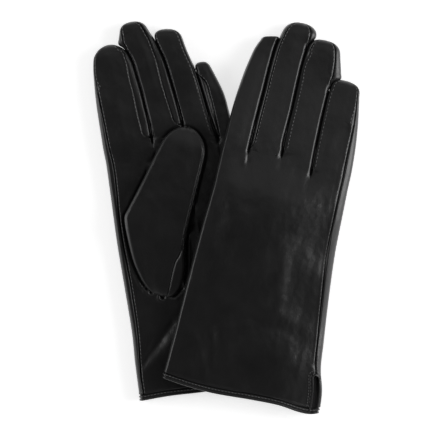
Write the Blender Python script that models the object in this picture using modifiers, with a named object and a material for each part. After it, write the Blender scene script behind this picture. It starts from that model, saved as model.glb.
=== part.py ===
"""A pair of lined leather gloves, one lying across the other, as an assembly of cut pieces.

The left glove lies palm up with its thumb folded over the palm. The right glove lies back up
across it, with its thumb folded under the palm. Every leather panel, side strip, gusset,
binding and lining is its own closed body. Fingers and thumbs hang from empties on the folds
that they bend about. Lengths are in millimetres and each glove has its own frame:
u runs across it towards the little finger, v runs from the cuff to the fingertips.
"""

import math

import bmesh
import bpy

MM = 0.001

# Materials and make
LEATHER = 0.8
LINING = 0.6
LAYER_GAP = 0.45
SEAM_HALF_GAP = 0.4
WRAP = 5.0
BINDING_LENGTH = 3.4
BINDING_THICKNESS = 1.9
PIECE_GAP = 0.35

# Thicknesses of the lying gloves
CUFF_HEIGHT = 9.0
BODY_HEIGHT = 9.6
FINGER_HEIGHT = 10.0
THUMB_HEIGHT = 8.2
HAND_CORNER = 4.0
FINGER_CORNER = 3.6
THUMB_CORNER = 3.4

# Vent
VENT_LENGTH = 24.0
VENT_HALF_WIDTH = 2.8
VENT_CORD_RADIUS = 0.45
VENT_CORD_GAP = 0.3
VENT_CORD_EASE = 0.2

# Gussets between the fingers
GUSSET_HALF_WIDTH = 0.45
GUSSET_LENGTH = 3.0
GUSSET_INSET = 1.6

# Rows of the hand panels above the cuff's binding
HAND_ROWS = (12.0, 20.8, 22.7, 23.6, 24.0, 40.0, 60.0, 82.0, 105.0, 130.0)
CUFF_BLEND = 30.0
CROTCH_STEP = 0.5
BAND_STEPS = 7
CORNER_SHARE = 0.46
QUARTER_TURN = math.pi / 2
WRAP_SHARE = 0.3
TIP_RISE = 0.35
HINGE_RISE = 0.3

# Half gap of the little finger's side seam along the cuff
VENT_PROFILE = ((20.8, 2.8), (22.7, 2.0), (23.6, 1.0), (24.0, 0.4))

# Thumb seat: how the thumb tube stands off the palm that it lies on
THUMB_REST_GAP = 0.5
THUMB_SEAT_SCALE = 0.975
HOLE_CUTTER_REACH = 60.0

# The edge of the left glove under the right one, in the right glove's frame
UNDER_EDGE_AT_CUFF = 35.5
UNDER_EDGE_SLOPE = -0.455
UNDER_FALL_START = 2.0
UNDER_FALL_LENGTH = 28.0

# Height of the right glove's underside: rows along v, columns across u
DRAPE_U = (-50.0, -25.0, 0.0, 25.0, 50.0)
DRAPE = (
    (0.0, (10.0, 10.4, 9.6, 7.4, 2.2)),
    (25.0, (10.9, 11.0, 11.1, 11.2, 5.2)),
    (60.0, (12.6, 13.8, 13.2, 9.0, 3.6)),
    (100.0, (15.6, 19.6, 19.0, 12.4, 5.0)),
    (130.0, (15.6, 19.6, 18.8, 14.0, 8.0)),
    (157.0, (15.0, 13.4, 11.8, 10.2, 8.6)),
    (185.0, (11.0, 8.6, 6.9, 5.6, 4.8)),
    (215.0, (3.4, 2.6, 2.2, 1.8, 1.5)),
    (248.0, (0.1, 0.1, 0.1, 0.1, 0.1)),
)

# The thumb hole in the palm panel, drawn round from the web
THUMB_HOLE = (
    (-36.2, 114.0),
    (-36.0, 104.0),
    (-35.8, 92.5),
    (-34.0, 80.5),
    (-29.7, 71.4),
    (-24.0, 65.4),
    (-17.7, 63.4),
    (-11.4, 65.8),
    (-6.1, 72.5),
    (-2.3, 82.7),
    (-0.2, 94.9),
    (-1.2, 104.5),
    (-7.0, 112.5),
    (-16.0, 118.0),
    (-27.0, 120.0),
)

# Thumb rows: distance along it, left and right edges, thickness
THUMB_ROWS = (
    (2.0, -19.5, 16.6, 1.0),
    (14.0, -20.0, 17.0, 1.0),
    (30.0, -17.8, 17.2, 1.0),
    (46.0, -15.4, 16.8, 1.0),
    (58.0, -12.2, 16.0, 0.92),
    (65.0, -8.4, 14.0, 0.74),
    (70.0, -3.2, 9.0, 0.4),
)

# Each glove: where it lies, its outline, its crotches and its fingers.
# Outline rows are (v, left edge, right edge). Finger rows are (v, left edge, right edge,
# share of the full thickness).
LEFT = {
    "name": "left",
    "origin": (-9.24, -112.86),
    "tilt": -9.5,
    "palm_up": True,
    "outline": (
        (0.0, -47.8, 48.6),
        (24.0, -47.0, 49.4),
        (45.0, -45.7, 47.4),
        (75.0, -45.6, 44.6),
        (105.0, -45.6, 43.4),
        (135.0, -44.7, 43.4),
        (159.0, -43.9, 43.4),
    ),
    "crotches": (-10.6, 9.9, 30.9),
    "fingers": (
        (
            "index",
            162.5,
            (
                (162.5, -43.8, -11.5, 1.0),
                (182.0, -42.6, -12.9, 1.0),
                (201.0, -42.6, -14.0, 1.0),
                (217.0, -41.6, -15.6, 0.98),
                (228.0, -39.4, -17.8, 0.8),
                (233.6, -35.0, -21.8, 0.34),
            ),
        ),
        (
            "middle",
            168.0,
            (
                (168.0, -9.7, 9.0, 1.0),
                (186.0, -11.8, 7.3, 1.0),
                (205.0, -13.2, 5.7, 1.0),
                (224.0, -16.0, 3.2, 0.98),
                (238.0, -19.4, -1.6, 0.8),
                (245.6, -16.6, -6.4, 0.34),
            ),
        ),
        (
            "ring",
            168.0,
            (
                (168.0, 10.8, 29.2, 1.0),
                (184.0, 8.4, 26.8, 1.0),
                (202.0, 6.8, 24.8, 1.0),
                (218.0, 4.9, 22.0, 0.98),
                (231.0, 2.6, 19.6, 0.8),
                (238.0, 6.4, 14.6, 0.34),
            ),
        ),
        (
            "little",
            162.0,
            (
                (162.0, 32.2, 43.2, 1.0),
                (177.0, 30.2, 41.4, 1.0),
                (190.0, 27.8, 40.3, 1.0),
                (201.0, 26.3, 37.9, 0.94),
                (208.6, 25.6, 34.8, 0.7),
                (213.2, 27.2, 32.2, 0.34),
            ),
        ),
    ),
    "thumb": {"base": (-18.0, 105.0), "turn": 23.5},
}
RIGHT = {
    "name": "right",
    "origin": (7.26, -116.82),
    "tilt": 13.0,
    "palm_up": False,
    "outline": (
        (0.0, -50.0, 50.4),
        (24.0, -49.2, 51.0),
        (45.0, -48.7, 48.4),
        (75.0, -48.2, 44.6),
        (105.0, -47.2, 42.0),
        (130.0, -46.0, 41.0),
        (152.5, -45.8, 40.4),
    ),
    "crotches": (-27.6, -5.0, 14.2),
    "fingers": (
        (
            "index",
            157.5,
            (
                (157.5, -45.7, -28.5, 1.0),
                (177.0, -45.0, -28.3, 1.0),
                (197.0, -43.5, -28.1, 1.0),
                (216.0, -41.0, -27.9, 0.98),
                (229.0, -37.2, -27.0, 0.8),
                (235.4, -33.4, -28.0, 0.34),
            ),
        ),
        (
            "middle",
            159.5,
            (
                (159.5, -26.6, -5.9, 1.0),
                (181.0, -24.5, -5.5, 1.0),
                (203.0, -24.3, -5.7, 1.0),
                (224.0, -24.4, -5.9, 0.98),
                (239.0, -22.8, -4.4, 0.8),
                (246.6, -17.4, -8.4, 0.34),
            ),
        ),
        (
            "ring",
            157.0,
            (
                (157.0, -4.1, 13.3, 1.0),
                (179.0, -4.0, 13.6, 1.0),
                (200.0, -4.2, 13.4, 1.0),
                (219.0, -4.0, 15.0, 0.98),
                (233.0, -2.2, 16.0, 0.8),
                (240.4, 3.6, 11.8, 0.34),
            ),
        ),
        (
            "little",
            152.5,
            (
                (152.5, 15.1, 40.3, 1.0),
                (167.0, 15.2, 39.4, 1.0),
                (182.0, 14.9, 38.2, 1.0),
                (197.0, 15.0, 36.4, 0.98),
                (208.0, 16.6, 33.8, 0.8),
                (215.6, 21.6, 30.0, 0.34),
            ),
        ),
    ),
    "thumb": {"base": (-18.0, 100.0), "turn": 40.0},
}

# Colours, as linear red, green and blue
BLACK_NAPPA = (0.012, 0.012, 0.013)
BLACK_EDGE = (0.016, 0.016, 0.017)
DARK_LINING = (0.022, 0.021, 0.022)

# Where the pair lies about its own middle
PAIR_SHIFT = (-0.479, -0.079)


def clear_scene():
    """Removes every object that the scene starts with."""
    for obj in list(bpy.data.objects):
        bpy.data.objects.remove(obj, do_unlink=True)


def new_collection(name):
    """Adds a collection to the scene and returns it."""
    made = bpy.data.collections.new(name)
    bpy.context.scene.collection.children.link(made)
    return made


def make_material(name, colour, roughness):
    """Returns a plain Principled material."""
    material = bpy.data.materials.new(name)
    material.use_nodes = True
    shader = material.node_tree.nodes["Principled BSDF"]
    shader.inputs["Base Color"].default_value = (*colour, 1.0)
    shader.inputs["Roughness"].default_value = roughness
    shader.inputs["Metallic"].default_value = 0.0
    material.diffuse_color = (*colour, 1.0)
    material.roughness = roughness
    return material


def leather_material(name):
    """The soft black glove leather."""
    return make_material(name + "_leather", BLACK_NAPPA, 0.42)


def binding_material(name):
    """The same leather folded over an edge, a little shinier."""
    return make_material(name + "_bound_edge", BLACK_EDGE, 0.36)


def lining_material(name):
    """The dark knitted lining."""
    return make_material(name + "_knit", DARK_LINING, 0.9)


def hermite(x, stations, values):
    """A smooth curve through the values at the stations, flat beyond its ends."""
    if x <= stations[0]:
        return values[0]
    if x >= stations[-1]:
        return values[-1]
    last = len(stations) - 1
    i = max(k for k in range(last) if stations[k] <= x)
    slopes = []
    for k in (i, i + 1):
        before = max(k - 1, 0)
        after = min(k + 1, last)
        slopes.append((values[after] - values[before]) / (stations[after] - stations[before]))
    span = stations[i + 1] - stations[i]
    t = (x - stations[i]) / span
    start = (1 + 2 * t) * (1 - t) ** 2 * values[i] + t * (1 - t) ** 2 * span * slopes[0]
    end = t * t * (3 - 2 * t) * values[i + 1] + t * t * (t - 1) * span * slopes[1]
    return start + end


def smoothstep(t):
    """Runs from 0 to 1 with flat ends."""
    t = min(max(t, 0.0), 1.0)
    return t * t * (3 - 2 * t)


def flat_lie(u, v):
    """The left glove lies on the table."""
    return 0.0


def draped_lie(u, v):
    """The right glove's underside, over the left glove and its own thumb."""
    rows = [hermite(u, DRAPE_U, values) for _, values in DRAPE]
    return hermite(v, [row[0] for row in DRAPE], rows)


def under_thumb_lie(u, v):
    """The surface that the right thumb lies on: the left glove, falling to the table."""
    edge = UNDER_EDGE_AT_CUFF + UNDER_EDGE_SLOPE * v
    fallen = smoothstep((u - edge - UNDER_FALL_START) / UNDER_FALL_LENGTH)
    return (BODY_HEIGHT + THUMB_REST_GAP) * (1.0 - fallen)


def lie_of(glove):
    """The height field that a glove's underside follows."""
    return flat_lie if glove["palm_up"] else draped_lie


def section_point(station, left, right, height, corner):
    """A point of a rounded rectangle. Stations 0 to 8 run up the right side, over the top,
    down the left side and along the bottom: odd spans are the corners."""
    span = int(math.floor(station)) % 8
    t = station - math.floor(station)
    low, high = corner, height - corner
    sides = {
        0: ((right, low), (right, high)),
        2: ((right - corner, height), (left + corner, height)),
        4: ((left, high), (left, low)),
        6: ((left + corner, 0.0), (right - corner, 0.0)),
    }
    if span in sides:
        (x0, z0), (x1, z1) = sides[span]
        return x0 + (x1 - x0) * t, z0 + (z1 - z0) * t
    centres = {
        1: (right - corner, high),
        3: (left + corner, high),
        5: (left + corner, low),
        7: (right - corner, low),
    }
    angle = math.radians(45.0 * (span - 1) + 90.0 * t)
    x, z = centres[span]
    return x + corner * math.cos(angle), z + corner * math.sin(angle)


class Tube:
    """A tapering tube of rounded sections. Its panels are ranges of its stations."""

    def __init__(self, rows, corner, flipped, lie, place=None, front=None):
        """Rows are (distance along, left edge, right edge, thickness, height of underside)."""
        self.rows = rows
        self.corner = corner
        self.flipped = flipped
        self.lie = lie
        self.place = place
        self.front = front

    def inset(self, depth):
        """The same tube with every wall moved inwards."""
        rows = [
            (v, left + depth, right - depth, height - 2 * depth, low + depth)
            for v, left, right, height, low in self.rows
        ]
        corner = self.corner - depth
        return Tube(rows, corner, self.flipped, self.lie, self.place, self.front)

    def corner_of(self, row):
        """The corner radius at a row."""
        return min(self.corner, CORNER_SHARE * self.rows[row][3])

    def point(self, row, station):
        """The point at a station of a row, in the glove's frame."""
        along, left, right, height, low = self.rows[row]
        across, z = section_point(station, left, right, height, self.corner_of(row))
        if self.flipped:
            z = height - z
        if self.front and row == len(self.rows) - 1:
            along = self.front(across)
        u, v = self.place(across, along) if self.place else (across, along)
        return u, v, z + low + self.lie(u, v)

    def station_at(self, row, across):
        """The station on the upper half of a row that lies this far across."""
        _, left, right, _, _ = self.rows[row]
        corner = self.corner_of(row)
        if right - across < corner:
            return 1.0 + math.acos(1.0 - max(right - across, 0.0) / corner) / QUARTER_TURN
        if across - left < corner:
            return 4.0 - math.acos(1.0 - max(across - left, 0.0) / corner) / QUARTER_TURN
        return 2.0 + (right - corner - across) / (right - left - 2 * corner)

    def under_station_at(self, row, across):
        """The station on the lower half of a row that lies this far across."""
        return 9.0 - self.station_at(row, across)

    def seam_shift(self, row):
        """Half a seam's gap as a share of a corner's arc."""
        return SEAM_HALF_GAP / (self.corner_of(row) * QUARTER_TURN)


def between(first, last, count):
    """Evenly spaced values from first to last."""
    return [first + (last - first) * k / (count - 1) for k in range(count)]


def loft(points, closed, outward, capped):
    """A mesh through rows of points, its faces turned outwards."""
    made = bmesh.new()
    grid = [[made.verts.new(p) for p in row] for row in points]
    count = len(grid[0])
    for low, high in zip(grid, grid[1:]):
        for j in range(count if closed else count - 1):
            k = (j + 1) % count
            face = (low[j], high[j], high[k], low[k])
            made.faces.new(face if outward else face[::-1])
    if capped:
        made.faces.new(grid[-1] if not outward else grid[-1][::-1])
    return made


class Glove:
    """One glove: its frame, its collection and the pieces that hang from it."""

    def __init__(self, spec, collection, cutters):
        self.spec = spec
        self.name = spec["name"]
        self.flipped = spec["palm_up"]
        self.lie = lie_of(spec)
        self.collection = collection
        self.cutters = cutters
        self.leather = leather_material(self.name)
        self.bound = binding_material(self.name)
        self.knit = lining_material(self.name)
        x, y = spec["origin"]
        self.root = bpy.data.objects.new(self.name + "_glove", None)
        self.root.location = ((x + PAIR_SHIFT[0]) * MM, (y + PAIR_SHIFT[1]) * MM, 0.0)
        self.root.rotation_euler = (0.0, 0.0, -math.radians(spec["tilt"]))
        collection.objects.link(self.root)

    def hinge(self, name, pivot):
        """An empty on a fold that a piece bends about."""
        made = bpy.data.objects.new(f"{self.name}_{name}_hinge", None)
        made.location = [c * MM for c in pivot]
        made.parent = self.root
        self.collection.objects.link(made)
        return made

    def add(self, name, built, material, pivot=(0.0, 0.0, 0.0), parent=None):
        """Links a bmesh built in the glove's frame as an object with its origin on the pivot."""
        for vert in built.verts:
            vert.co = [(c - p) * MM for c, p in zip(vert.co, pivot)]
        mesh = bpy.data.meshes.new(f"{self.name}_{name}")
        built.to_mesh(mesh)
        built.free()
        mesh.shade_smooth()
        mesh.materials.append(material)
        obj = bpy.data.objects.new(f"{self.name}_{name}", mesh)
        obj.parent = parent or self.root
        self.collection.objects.link(obj)
        return obj

    def thicken(self, obj, thickness):
        """Gives a skin its thickness, inwards."""
        solid = obj.modifiers.new("thickness", "SOLIDIFY")
        solid.thickness = thickness * MM
        solid.offset = -1.0
        solid.use_even_offset = True

    def panel(self, name, tube, stations, material, thickness, pivot=(0.0, 0.0, 0.0), parent=None):
        """A piece of a tube's wall: stations(row) lists where it runs at each row."""
        rows = range(len(tube.rows))
        points = [[tube.point(i, s) for s in stations(i)] for i in rows]
        built = loft(points, False, not self.flipped, False)
        obj = self.add(name, built, material, pivot, parent)
        self.thicken(obj, thickness)
        return obj

    def sleeve(self, name, tube, stations, capped, pivot=(0.0, 0.0, 0.0), parent=None):
        """A lining: a whole tube, closed at its far end if capped."""
        rows = range(len(tube.rows))
        points = [[tube.point(i, s) for s in stations(i)] for i in rows]
        built = loft(points, True, not self.flipped, capped)
        obj = self.add(name, built, self.knit, pivot, parent)
        self.thicken(obj, LINING)
        return obj

    def outline_at(self, v):
        """The hand's left and right edges at a distance from the cuff."""
        outline = self.spec["outline"]
        where = [row[0] for row in outline]
        left = hermite(v, where, [row[1] for row in outline])
        right = hermite(v, where, [row[2] for row in outline])
        return left, right

    def hand_tube(self, start):
        """The tube of the hand from a distance up the cuff to the roots of the fingers."""
        roots = [finger[1] for finger in self.spec["fingers"]]
        crotches = self.spec["crotches"]

        def front(across):
            index = sum(across > c for c in crotches)
            return roots[index] - PIECE_GAP / 2

        rows = []
        for v in (start, *HAND_ROWS, min(roots)):
            left, right = self.outline_at(v)
            share = smoothstep(v / CUFF_BLEND)
            height = CUFF_HEIGHT + (BODY_HEIGHT - CUFF_HEIGHT) * share
            rows.append((v, left, right, height, 0.0))
        return Tube(rows, HAND_CORNER, self.flipped, self.lie, None, front)

    def columns(self, tube, row):
        """Places across the hand, right to left, in line with the crotches and fingers."""
        _, left, right, _, _ = tube.rows[row]
        _, front_left, front_right, _, _ = tube.rows[-1]
        ends = (front_left + HAND_CORNER, *self.spec["crotches"], front_right - HAND_CORNER)
        marks = []
        for a, b in zip(ends, ends[1:]):
            marks.extend(((a + b) / 2, b - CROTCH_STEP, b + CROTCH_STEP))
        marks = marks[:-2]
        shares = [(m - front_left) / (front_right - front_left) for m in marks]
        return [left + s * (right - left) for s in reversed(shares)]

    def vent_half_gap(self, v):
        """Half the gap of the little finger's seam, which opens into the vent at the cuff."""
        return straight_line(v, VENT_PROFILE)

    def make_hand(self):
        """The back and palm panels, the lining, and the thumb's seat in its hole."""
        tube = self.hand_tube(BINDING_LENGTH + PIECE_GAP)

        def seam_places(row):
            v, left, right, _, _ = tube.rows[row]
            return left + WRAP, right - WRAP, self.vent_half_gap(v)

        def back(row):
            near, far, gap = seam_places(row)
            start = tube.station_at(row, far - gap)
            end = tube.under_station_at(row, near - SEAM_HALF_GAP)
            middle = [tube.station_at(row, u) for u in self.columns(tube, row)]
            return [start, *middle, 3.0, 3.5, 4.0, 5.0, 5.5, 6.0, end]

        def palm(row):
            near, far, gap = seam_places(row)
            start = tube.under_station_at(row, near + SEAM_HALF_GAP)
            end = 8.0 + tube.station_at(row, far + gap)
            places = reversed(self.columns(tube, row))
            middle = [tube.under_station_at(row, u) for u in places]
            return [start, *middle, 7.0, 7.5, 8.0, *between(9.0, end, 4)]

        self.panel("back_panel", tube, back, self.leather, LEATHER)
        outer = self.panel("palm_panel", tube, palm, self.leather, LEATHER)
        self.cut(outer, "DIFFERENCE", self.hole_cutter("hole", 1.0))
        seat = self.panel("thumb_base", tube, palm, self.leather, LEATHER)
        self.cut(seat, "INTERSECT", self.hole_cutter("seat", THUMB_SEAT_SCALE))
        inner = tube.inset(LEATHER + LAYER_GAP)

        def whole(row):
            marks = self.columns(tube, row)
            top = [inner.station_at(row, u) for u in marks]
            under = [inner.under_station_at(row, u) for u in reversed(marks)]
            return [0.0, 1.0, 1.5, 2.0, *top, 3.0, 3.5, 4.0, 5.0, 5.5, 6.0, *under, 7.0, 7.5]

        self.sleeve("hand_lining", inner, whole, False)

    def hole_cutter(self, name, scale):
        """An upright prism on the outline of the thumb hole."""
        count = len(THUMB_HOLE)
        middle = [sum(p[k] for p in THUMB_HOLE) / count for k in (0, 1)]
        built = bmesh.new()
        ring = []
        for u, v in THUMB_HOLE:
            place = (middle[0] + (u - middle[0]) * scale, middle[1] + (v - middle[1]) * scale)
            ring.append(built.verts.new((*place, -HOLE_CUTTER_REACH)))
        face = built.faces.new(ring)
        raised = bmesh.ops.extrude_face_region(built, geom=[face])["geom"]
        tops = [item for item in raised if isinstance(item, bmesh.types.BMVert)]
        bmesh.ops.translate(built, vec=(0.0, 0.0, 2 * HOLE_CUTTER_REACH), verts=tops)
        bmesh.ops.recalc_face_normals(built, faces=built.faces)
        obj = self.add(f"thumb_{name}_cutter", built, self.leather)
        self.collection.objects.unlink(obj)
        self.cutters.objects.link(obj)
        obj.hide_render = True
        obj.display_type = "WIRE"
        return obj

    def cut(self, obj, operation, cutter):
        """Adds an exact Boolean."""
        made = obj.modifiers.new(operation.lower(), "BOOLEAN")
        made.operation = operation
        made.object = cutter
        made.solver = "EXACT"

    def make_bindings(self):
        """The band folded round the cuff's edge, and the cord sewn round the vent."""
        rows = []
        for v in (0.0, BINDING_LENGTH):
            left, right = self.outline_at(v)
            rows.append((v, left, right, CUFF_HEIGHT, 0.0))
        tube = Tube(rows, HAND_CORNER, self.flipped, self.lie)

        def band(row):
            _, _, right, _, _ = tube.rows[row]
            start = tube.station_at(row, right - WRAP - VENT_HALF_WIDTH)
            end = 8.0 + tube.station_at(row, right - WRAP + VENT_HALF_WIDTH)
            over = between(start, 3.0, BAND_STEPS)
            under = between(6.0, 7.0, BAND_STEPS)
            return [*over, 3.5, 4.0, 5.0, 5.5, *under, 7.5, 8.0, *between(9.0, end, 3)]

        self.panel("cuff_binding", tube, band, self.bound, BINDING_THICKNESS)
        self.make_vent_cord()

    def make_vent_cord(self):
        """A cord up one edge of the vent, round its end and down the other."""
        reach = VENT_HALF_WIDTH - VENT_CORD_GAP - VENT_CORD_RADIUS - VENT_CORD_EASE
        start = BINDING_LENGTH + PIECE_GAP
        bend = VENT_LENGTH - VENT_HALF_WIDTH - VENT_CORD_EASE
        path = [(-reach, v) for v in between(start, bend, 4)]
        path += [
            (-reach * math.cos(a), bend + reach * math.sin(a))
            for a in between(0.0, math.pi, 9)[1:-1]
        ]
        path += [(reach, v) for v in between(bend, start, 4)]
        curve = bpy.data.curves.new(f"{self.name}_vent_binding", "CURVE")
        curve.dimensions = "3D"
        curve.bevel_depth = VENT_CORD_RADIUS * MM
        curve.bevel_resolution = 1
        curve.resolution_u = 1
        curve.use_fill_caps = True
        spline = curve.splines.new("POLY")
        spline.points.add(len(path) - 1)
        for point, (offset, v) in zip(spline.points, path):
            _, right = self.outline_at(v)
            u = right - WRAP + offset
            depth = VENT_CORD_RADIUS + VENT_CORD_EASE
            share = smoothstep(v / CUFF_BLEND)
            height = CUFF_HEIGHT + (BODY_HEIGHT - CUFF_HEIGHT) * share
            z = depth if self.flipped else height - depth
            point.co = (u * MM, v * MM, (z + self.lie(u, v)) * MM, 1.0)
        curve.materials.append(self.bound)
        obj = bpy.data.objects.new(f"{self.name}_vent_binding", curve)
        obj.parent = self.root
        self.collection.objects.link(obj)

    def make_finger(self, name, root, spec_rows):
        """One finger: its two faces, the side strips it has, and its lining."""
        rows = [(v, left, right, FINGER_HEIGHT * share, 0.0) for v, left, right, share in spec_rows]
        rows[0] = (root + PIECE_GAP / 2, *rows[0][1:])
        rows = [(v, left, right, h, (FINGER_HEIGHT - h) * TIP_RISE) for v, left, right, h, _ in rows]
        tube = Tube(rows, FINGER_CORNER, self.flipped, self.lie)
        middle = (rows[0][1] + rows[0][2]) / 2
        pivot = (middle, root, self.lie(middle, root) + FINGER_HEIGHT + HINGE_RISE)
        holder = self.hinge(name, pivot)

        def wrap(row):
            _, left, right, _, _ = tube.rows[row]
            return min(WRAP, WRAP_SHARE * (right - left))

        def face_stations(row):
            shift = tube.seam_shift(row)
            return [1.75 + shift, 2.0, 2.5, 3.0, 3.25 - shift]

        def under_stations(row):
            shift = tube.seam_shift(row)
            return [5.75 + shift, 6.0, 6.5, 7.0, 7.25 - shift]

        def near_side(row):
            shift = tube.seam_shift(row)
            return [3.25 + shift, 3.75, 4.5, 5.25, 5.75 - shift]

        def far_side(row):
            shift = tube.seam_shift(row)
            return [7.25 + shift, 7.75, 8.5, 9.25, 9.75 - shift]

        def index_back(row):
            _, left, _, _, _ = tube.rows[row]
            end = tube.under_station_at(row, left + wrap(row) - SEAM_HALF_GAP)
            start = 1.75 + tube.seam_shift(row)
            return [start, 2.0, 2.5, 3.0, 3.5, 4.0, *between(5.0, end, 4)]

        def index_palm(row):
            _, left, _, _, _ = tube.rows[row]
            start = tube.under_station_at(row, left + wrap(row) + SEAM_HALF_GAP)
            return [start, (start + 7.0) / 2, 7.0, 7.25 - tube.seam_shift(row)]

        def little_back(row):
            _, _, right, _, _ = tube.rows[row]
            start = tube.station_at(row, right - wrap(row) - SEAM_HALF_GAP)
            return [start, (start + 3.0) / 2, 3.0, 3.25 - tube.seam_shift(row)]

        def little_palm(row):
            _, _, right, _, _ = tube.rows[row]
            end = 8.0 + tube.station_at(row, right - wrap(row) + SEAM_HALF_GAP)
            start = 5.75 + tube.seam_shift(row)
            return [start, 6.0, 6.5, 7.0, 7.5, 8.0, *between(9.0, end, 4)]

        back = {"index": index_back, "little": little_back}.get(name, face_stations)
        palm = {"index": index_palm, "little": little_palm}.get(name, under_stations)
        sides = {"index": (far_side, None), "little": (None, near_side)}
        far, near = sides.get(name, (far_side, near_side))
        pieces = [("back", back), ("palm", palm)]
        if far:
            pieces.append(("far_side", far))
        if near:
            pieces.append(("near_side", near))
        for piece, stations in pieces:
            self.panel(f"{name}_{piece}", tube, stations, self.leather, LEATHER, pivot, holder)
        inner = tube.inset(LEATHER + LAYER_GAP)
        inner.rows = inner.rows[:-1]

        def whole(row):
            return [0.0, 1.0, 1.5, 2.0, 3.0, 3.5, 4.0, 5.0, 5.5, 6.0, 7.0, 7.5]

        self.sleeve(f"{name}_lining", inner, whole, True, pivot, holder)

    def make_thumb(self):
        """The thumb's leather, one piece with a seam down its outer side, and its lining."""
        base = self.spec["thumb"]["base"]
        turn = math.radians(self.spec["thumb"]["turn"])

        def place(across, along):
            u = base[0] + across * math.cos(turn) + along * math.sin(turn)
            v = base[1] - across * math.sin(turn) + along * math.cos(turn)
            return u, v

        lift = BODY_HEIGHT + THUMB_REST_GAP if self.flipped else 0.0
        lie = self.lie if self.flipped else under_thumb_lie
        rows = [(q, left, right, THUMB_HEIGHT * share, lift) for q, left, right, share in THUMB_ROWS]
        tube = Tube(rows, THUMB_CORNER, self.flipped, lie, place)
        fold = THUMB_ROWS[0][0] - PIECE_GAP
        u, v = place((THUMB_ROWS[0][1] + THUMB_ROWS[0][2]) / 2, fold)
        pivot = (u, v, lift - THUMB_REST_GAP / 2 if self.flipped else lie(u, v))
        holder = self.hinge("thumb", pivot)

        def leather(row):
            shift = tube.seam_shift(row)
            over = [1.75 + shift, 2.0, 2.33, 2.67, 3.0, 3.5, 4.0, 5.0, 5.5, 6.0]
            return [*over, 6.33, 6.67, 7.0, 7.5, 8.0, 9.0, 9.5, 9.75 - shift]

        self.panel("thumb_leather", tube, leather, self.leather, LEATHER, pivot, holder)
        inner = tube.inset(LEATHER + LAYER_GAP)
        inner.rows = inner.rows[:-2]

        def whole(row):
            over = [0.0, 1.0, 1.5, 2.0, 2.33, 2.67, 3.0, 3.5, 4.0]
            return [*over, 5.0, 5.5, 6.0, 6.33, 6.67, 7.0, 7.5]

        self.sleeve("thumb_lining", inner, whole, True, pivot, holder)

    def make_gussets(self):
        """A small diamond of leather standing at the foot of each crotch."""
        fingers = self.spec["fingers"]
        for (first, root_a, rows_a), (second, root_b, rows_b) in zip(fingers, fingers[1:]):
            v = max(root_a, root_b) + PIECE_GAP / 2 + GUSSET_LENGTH / 2
            near = straight_line(v, [(row[0], row[2]) for row in rows_a])
            far = straight_line(v, [(row[0], row[1]) for row in rows_b])
            u = (near + far) / 2
            z = self.lie(u, v) + FINGER_HEIGHT / 2
            built = bmesh.new()
            bmesh.ops.create_cone(
                built,
                cap_ends=True,
                segments=4,
                radius1=1.0,
                radius2=1.0,
                depth=2 * GUSSET_HALF_WIDTH,
            )
            half_height = FINGER_HEIGHT / 2 - GUSSET_INSET
            for vert in built.verts:
                x, y, across = vert.co
                vert.co = (u + across, v + x * GUSSET_LENGTH / 2, z + y * half_height)
            bmesh.ops.recalc_face_normals(built, faces=built.faces)
            self.add(f"{first}_{second}_gusset", built, self.leather)

    def make(self):
        """Builds every piece of the glove."""
        self.make_hand()
        self.make_bindings()
        for name, root, rows in self.spec["fingers"]:
            self.make_finger(name, root, rows)
        self.make_thumb()
        self.make_gussets()


def straight_line(x, pairs):
    """Straight lines through (place, value) pairs, flat beyond the ends."""
    if x <= pairs[0][0]:
        return pairs[0][1]
    for (x0, y0), (x1, y1) in zip(pairs, pairs[1:]):
        if x <= x1:
            return y0 + (y1 - y0) * (x - x0) / (x1 - x0)
    return pairs[-1][1]


def main():
    """Builds the pair."""
    clear_scene()
    gloves = new_collection("leather_gloves")
    cutters = new_collection("cutters")
    cutters.hide_render = True
    for spec in (LEFT, RIGHT):
        Glove(spec, gloves, cutters).make()


main()
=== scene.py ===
"""A pair of lined black leather gloves lying one across the other, dressed for show.

The left glove lies palm up with its thumb folded over the palm. The right glove lies back up
across it. Every visible piece is cut and sewn as on the bench: two faces to each glove, a strip
down each side of a finger, a bound cuff with a vent, linings, and the thread of the seams.
Lengths inside a glove are in millimetres: u runs across it towards the little finger, v from
the cuff to the fingertips, z up from the table.
"""

import logging
import math
from dataclasses import dataclass, replace
from enum import Enum
from typing import Callable

import bpy
import numpy as np
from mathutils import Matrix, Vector, noise


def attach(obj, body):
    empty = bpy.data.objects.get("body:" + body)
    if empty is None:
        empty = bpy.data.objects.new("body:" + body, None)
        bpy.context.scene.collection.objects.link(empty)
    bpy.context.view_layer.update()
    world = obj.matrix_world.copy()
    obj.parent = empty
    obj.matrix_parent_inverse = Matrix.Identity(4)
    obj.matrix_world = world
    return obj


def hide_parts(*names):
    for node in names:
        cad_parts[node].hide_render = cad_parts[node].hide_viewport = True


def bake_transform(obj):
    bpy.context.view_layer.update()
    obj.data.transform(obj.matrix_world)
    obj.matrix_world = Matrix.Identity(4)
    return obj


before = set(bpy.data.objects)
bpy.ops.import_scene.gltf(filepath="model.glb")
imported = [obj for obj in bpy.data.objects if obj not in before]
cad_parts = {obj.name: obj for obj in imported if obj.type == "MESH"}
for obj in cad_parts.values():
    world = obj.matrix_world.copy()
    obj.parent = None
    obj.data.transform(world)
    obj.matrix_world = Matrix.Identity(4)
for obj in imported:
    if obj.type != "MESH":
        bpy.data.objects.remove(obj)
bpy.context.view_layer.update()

MM = 0.001
QUARTER = math.pi / 2
LOG = logging.getLogger("gloves")
Array = np.ndarray
Pairs = tuple[tuple[float, float], ...]

# The pair's own place on the table
PAIR_SHIFT = (-0.479, -0.079)

# How far the sides of neighbouring fingers press into each other
LAP = 0.02

# Columns beside a seam, in millimetres from it
EDGE_STEPS = (0.0, 0.22, 0.45, 0.75, 1.2, 1.9)

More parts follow.
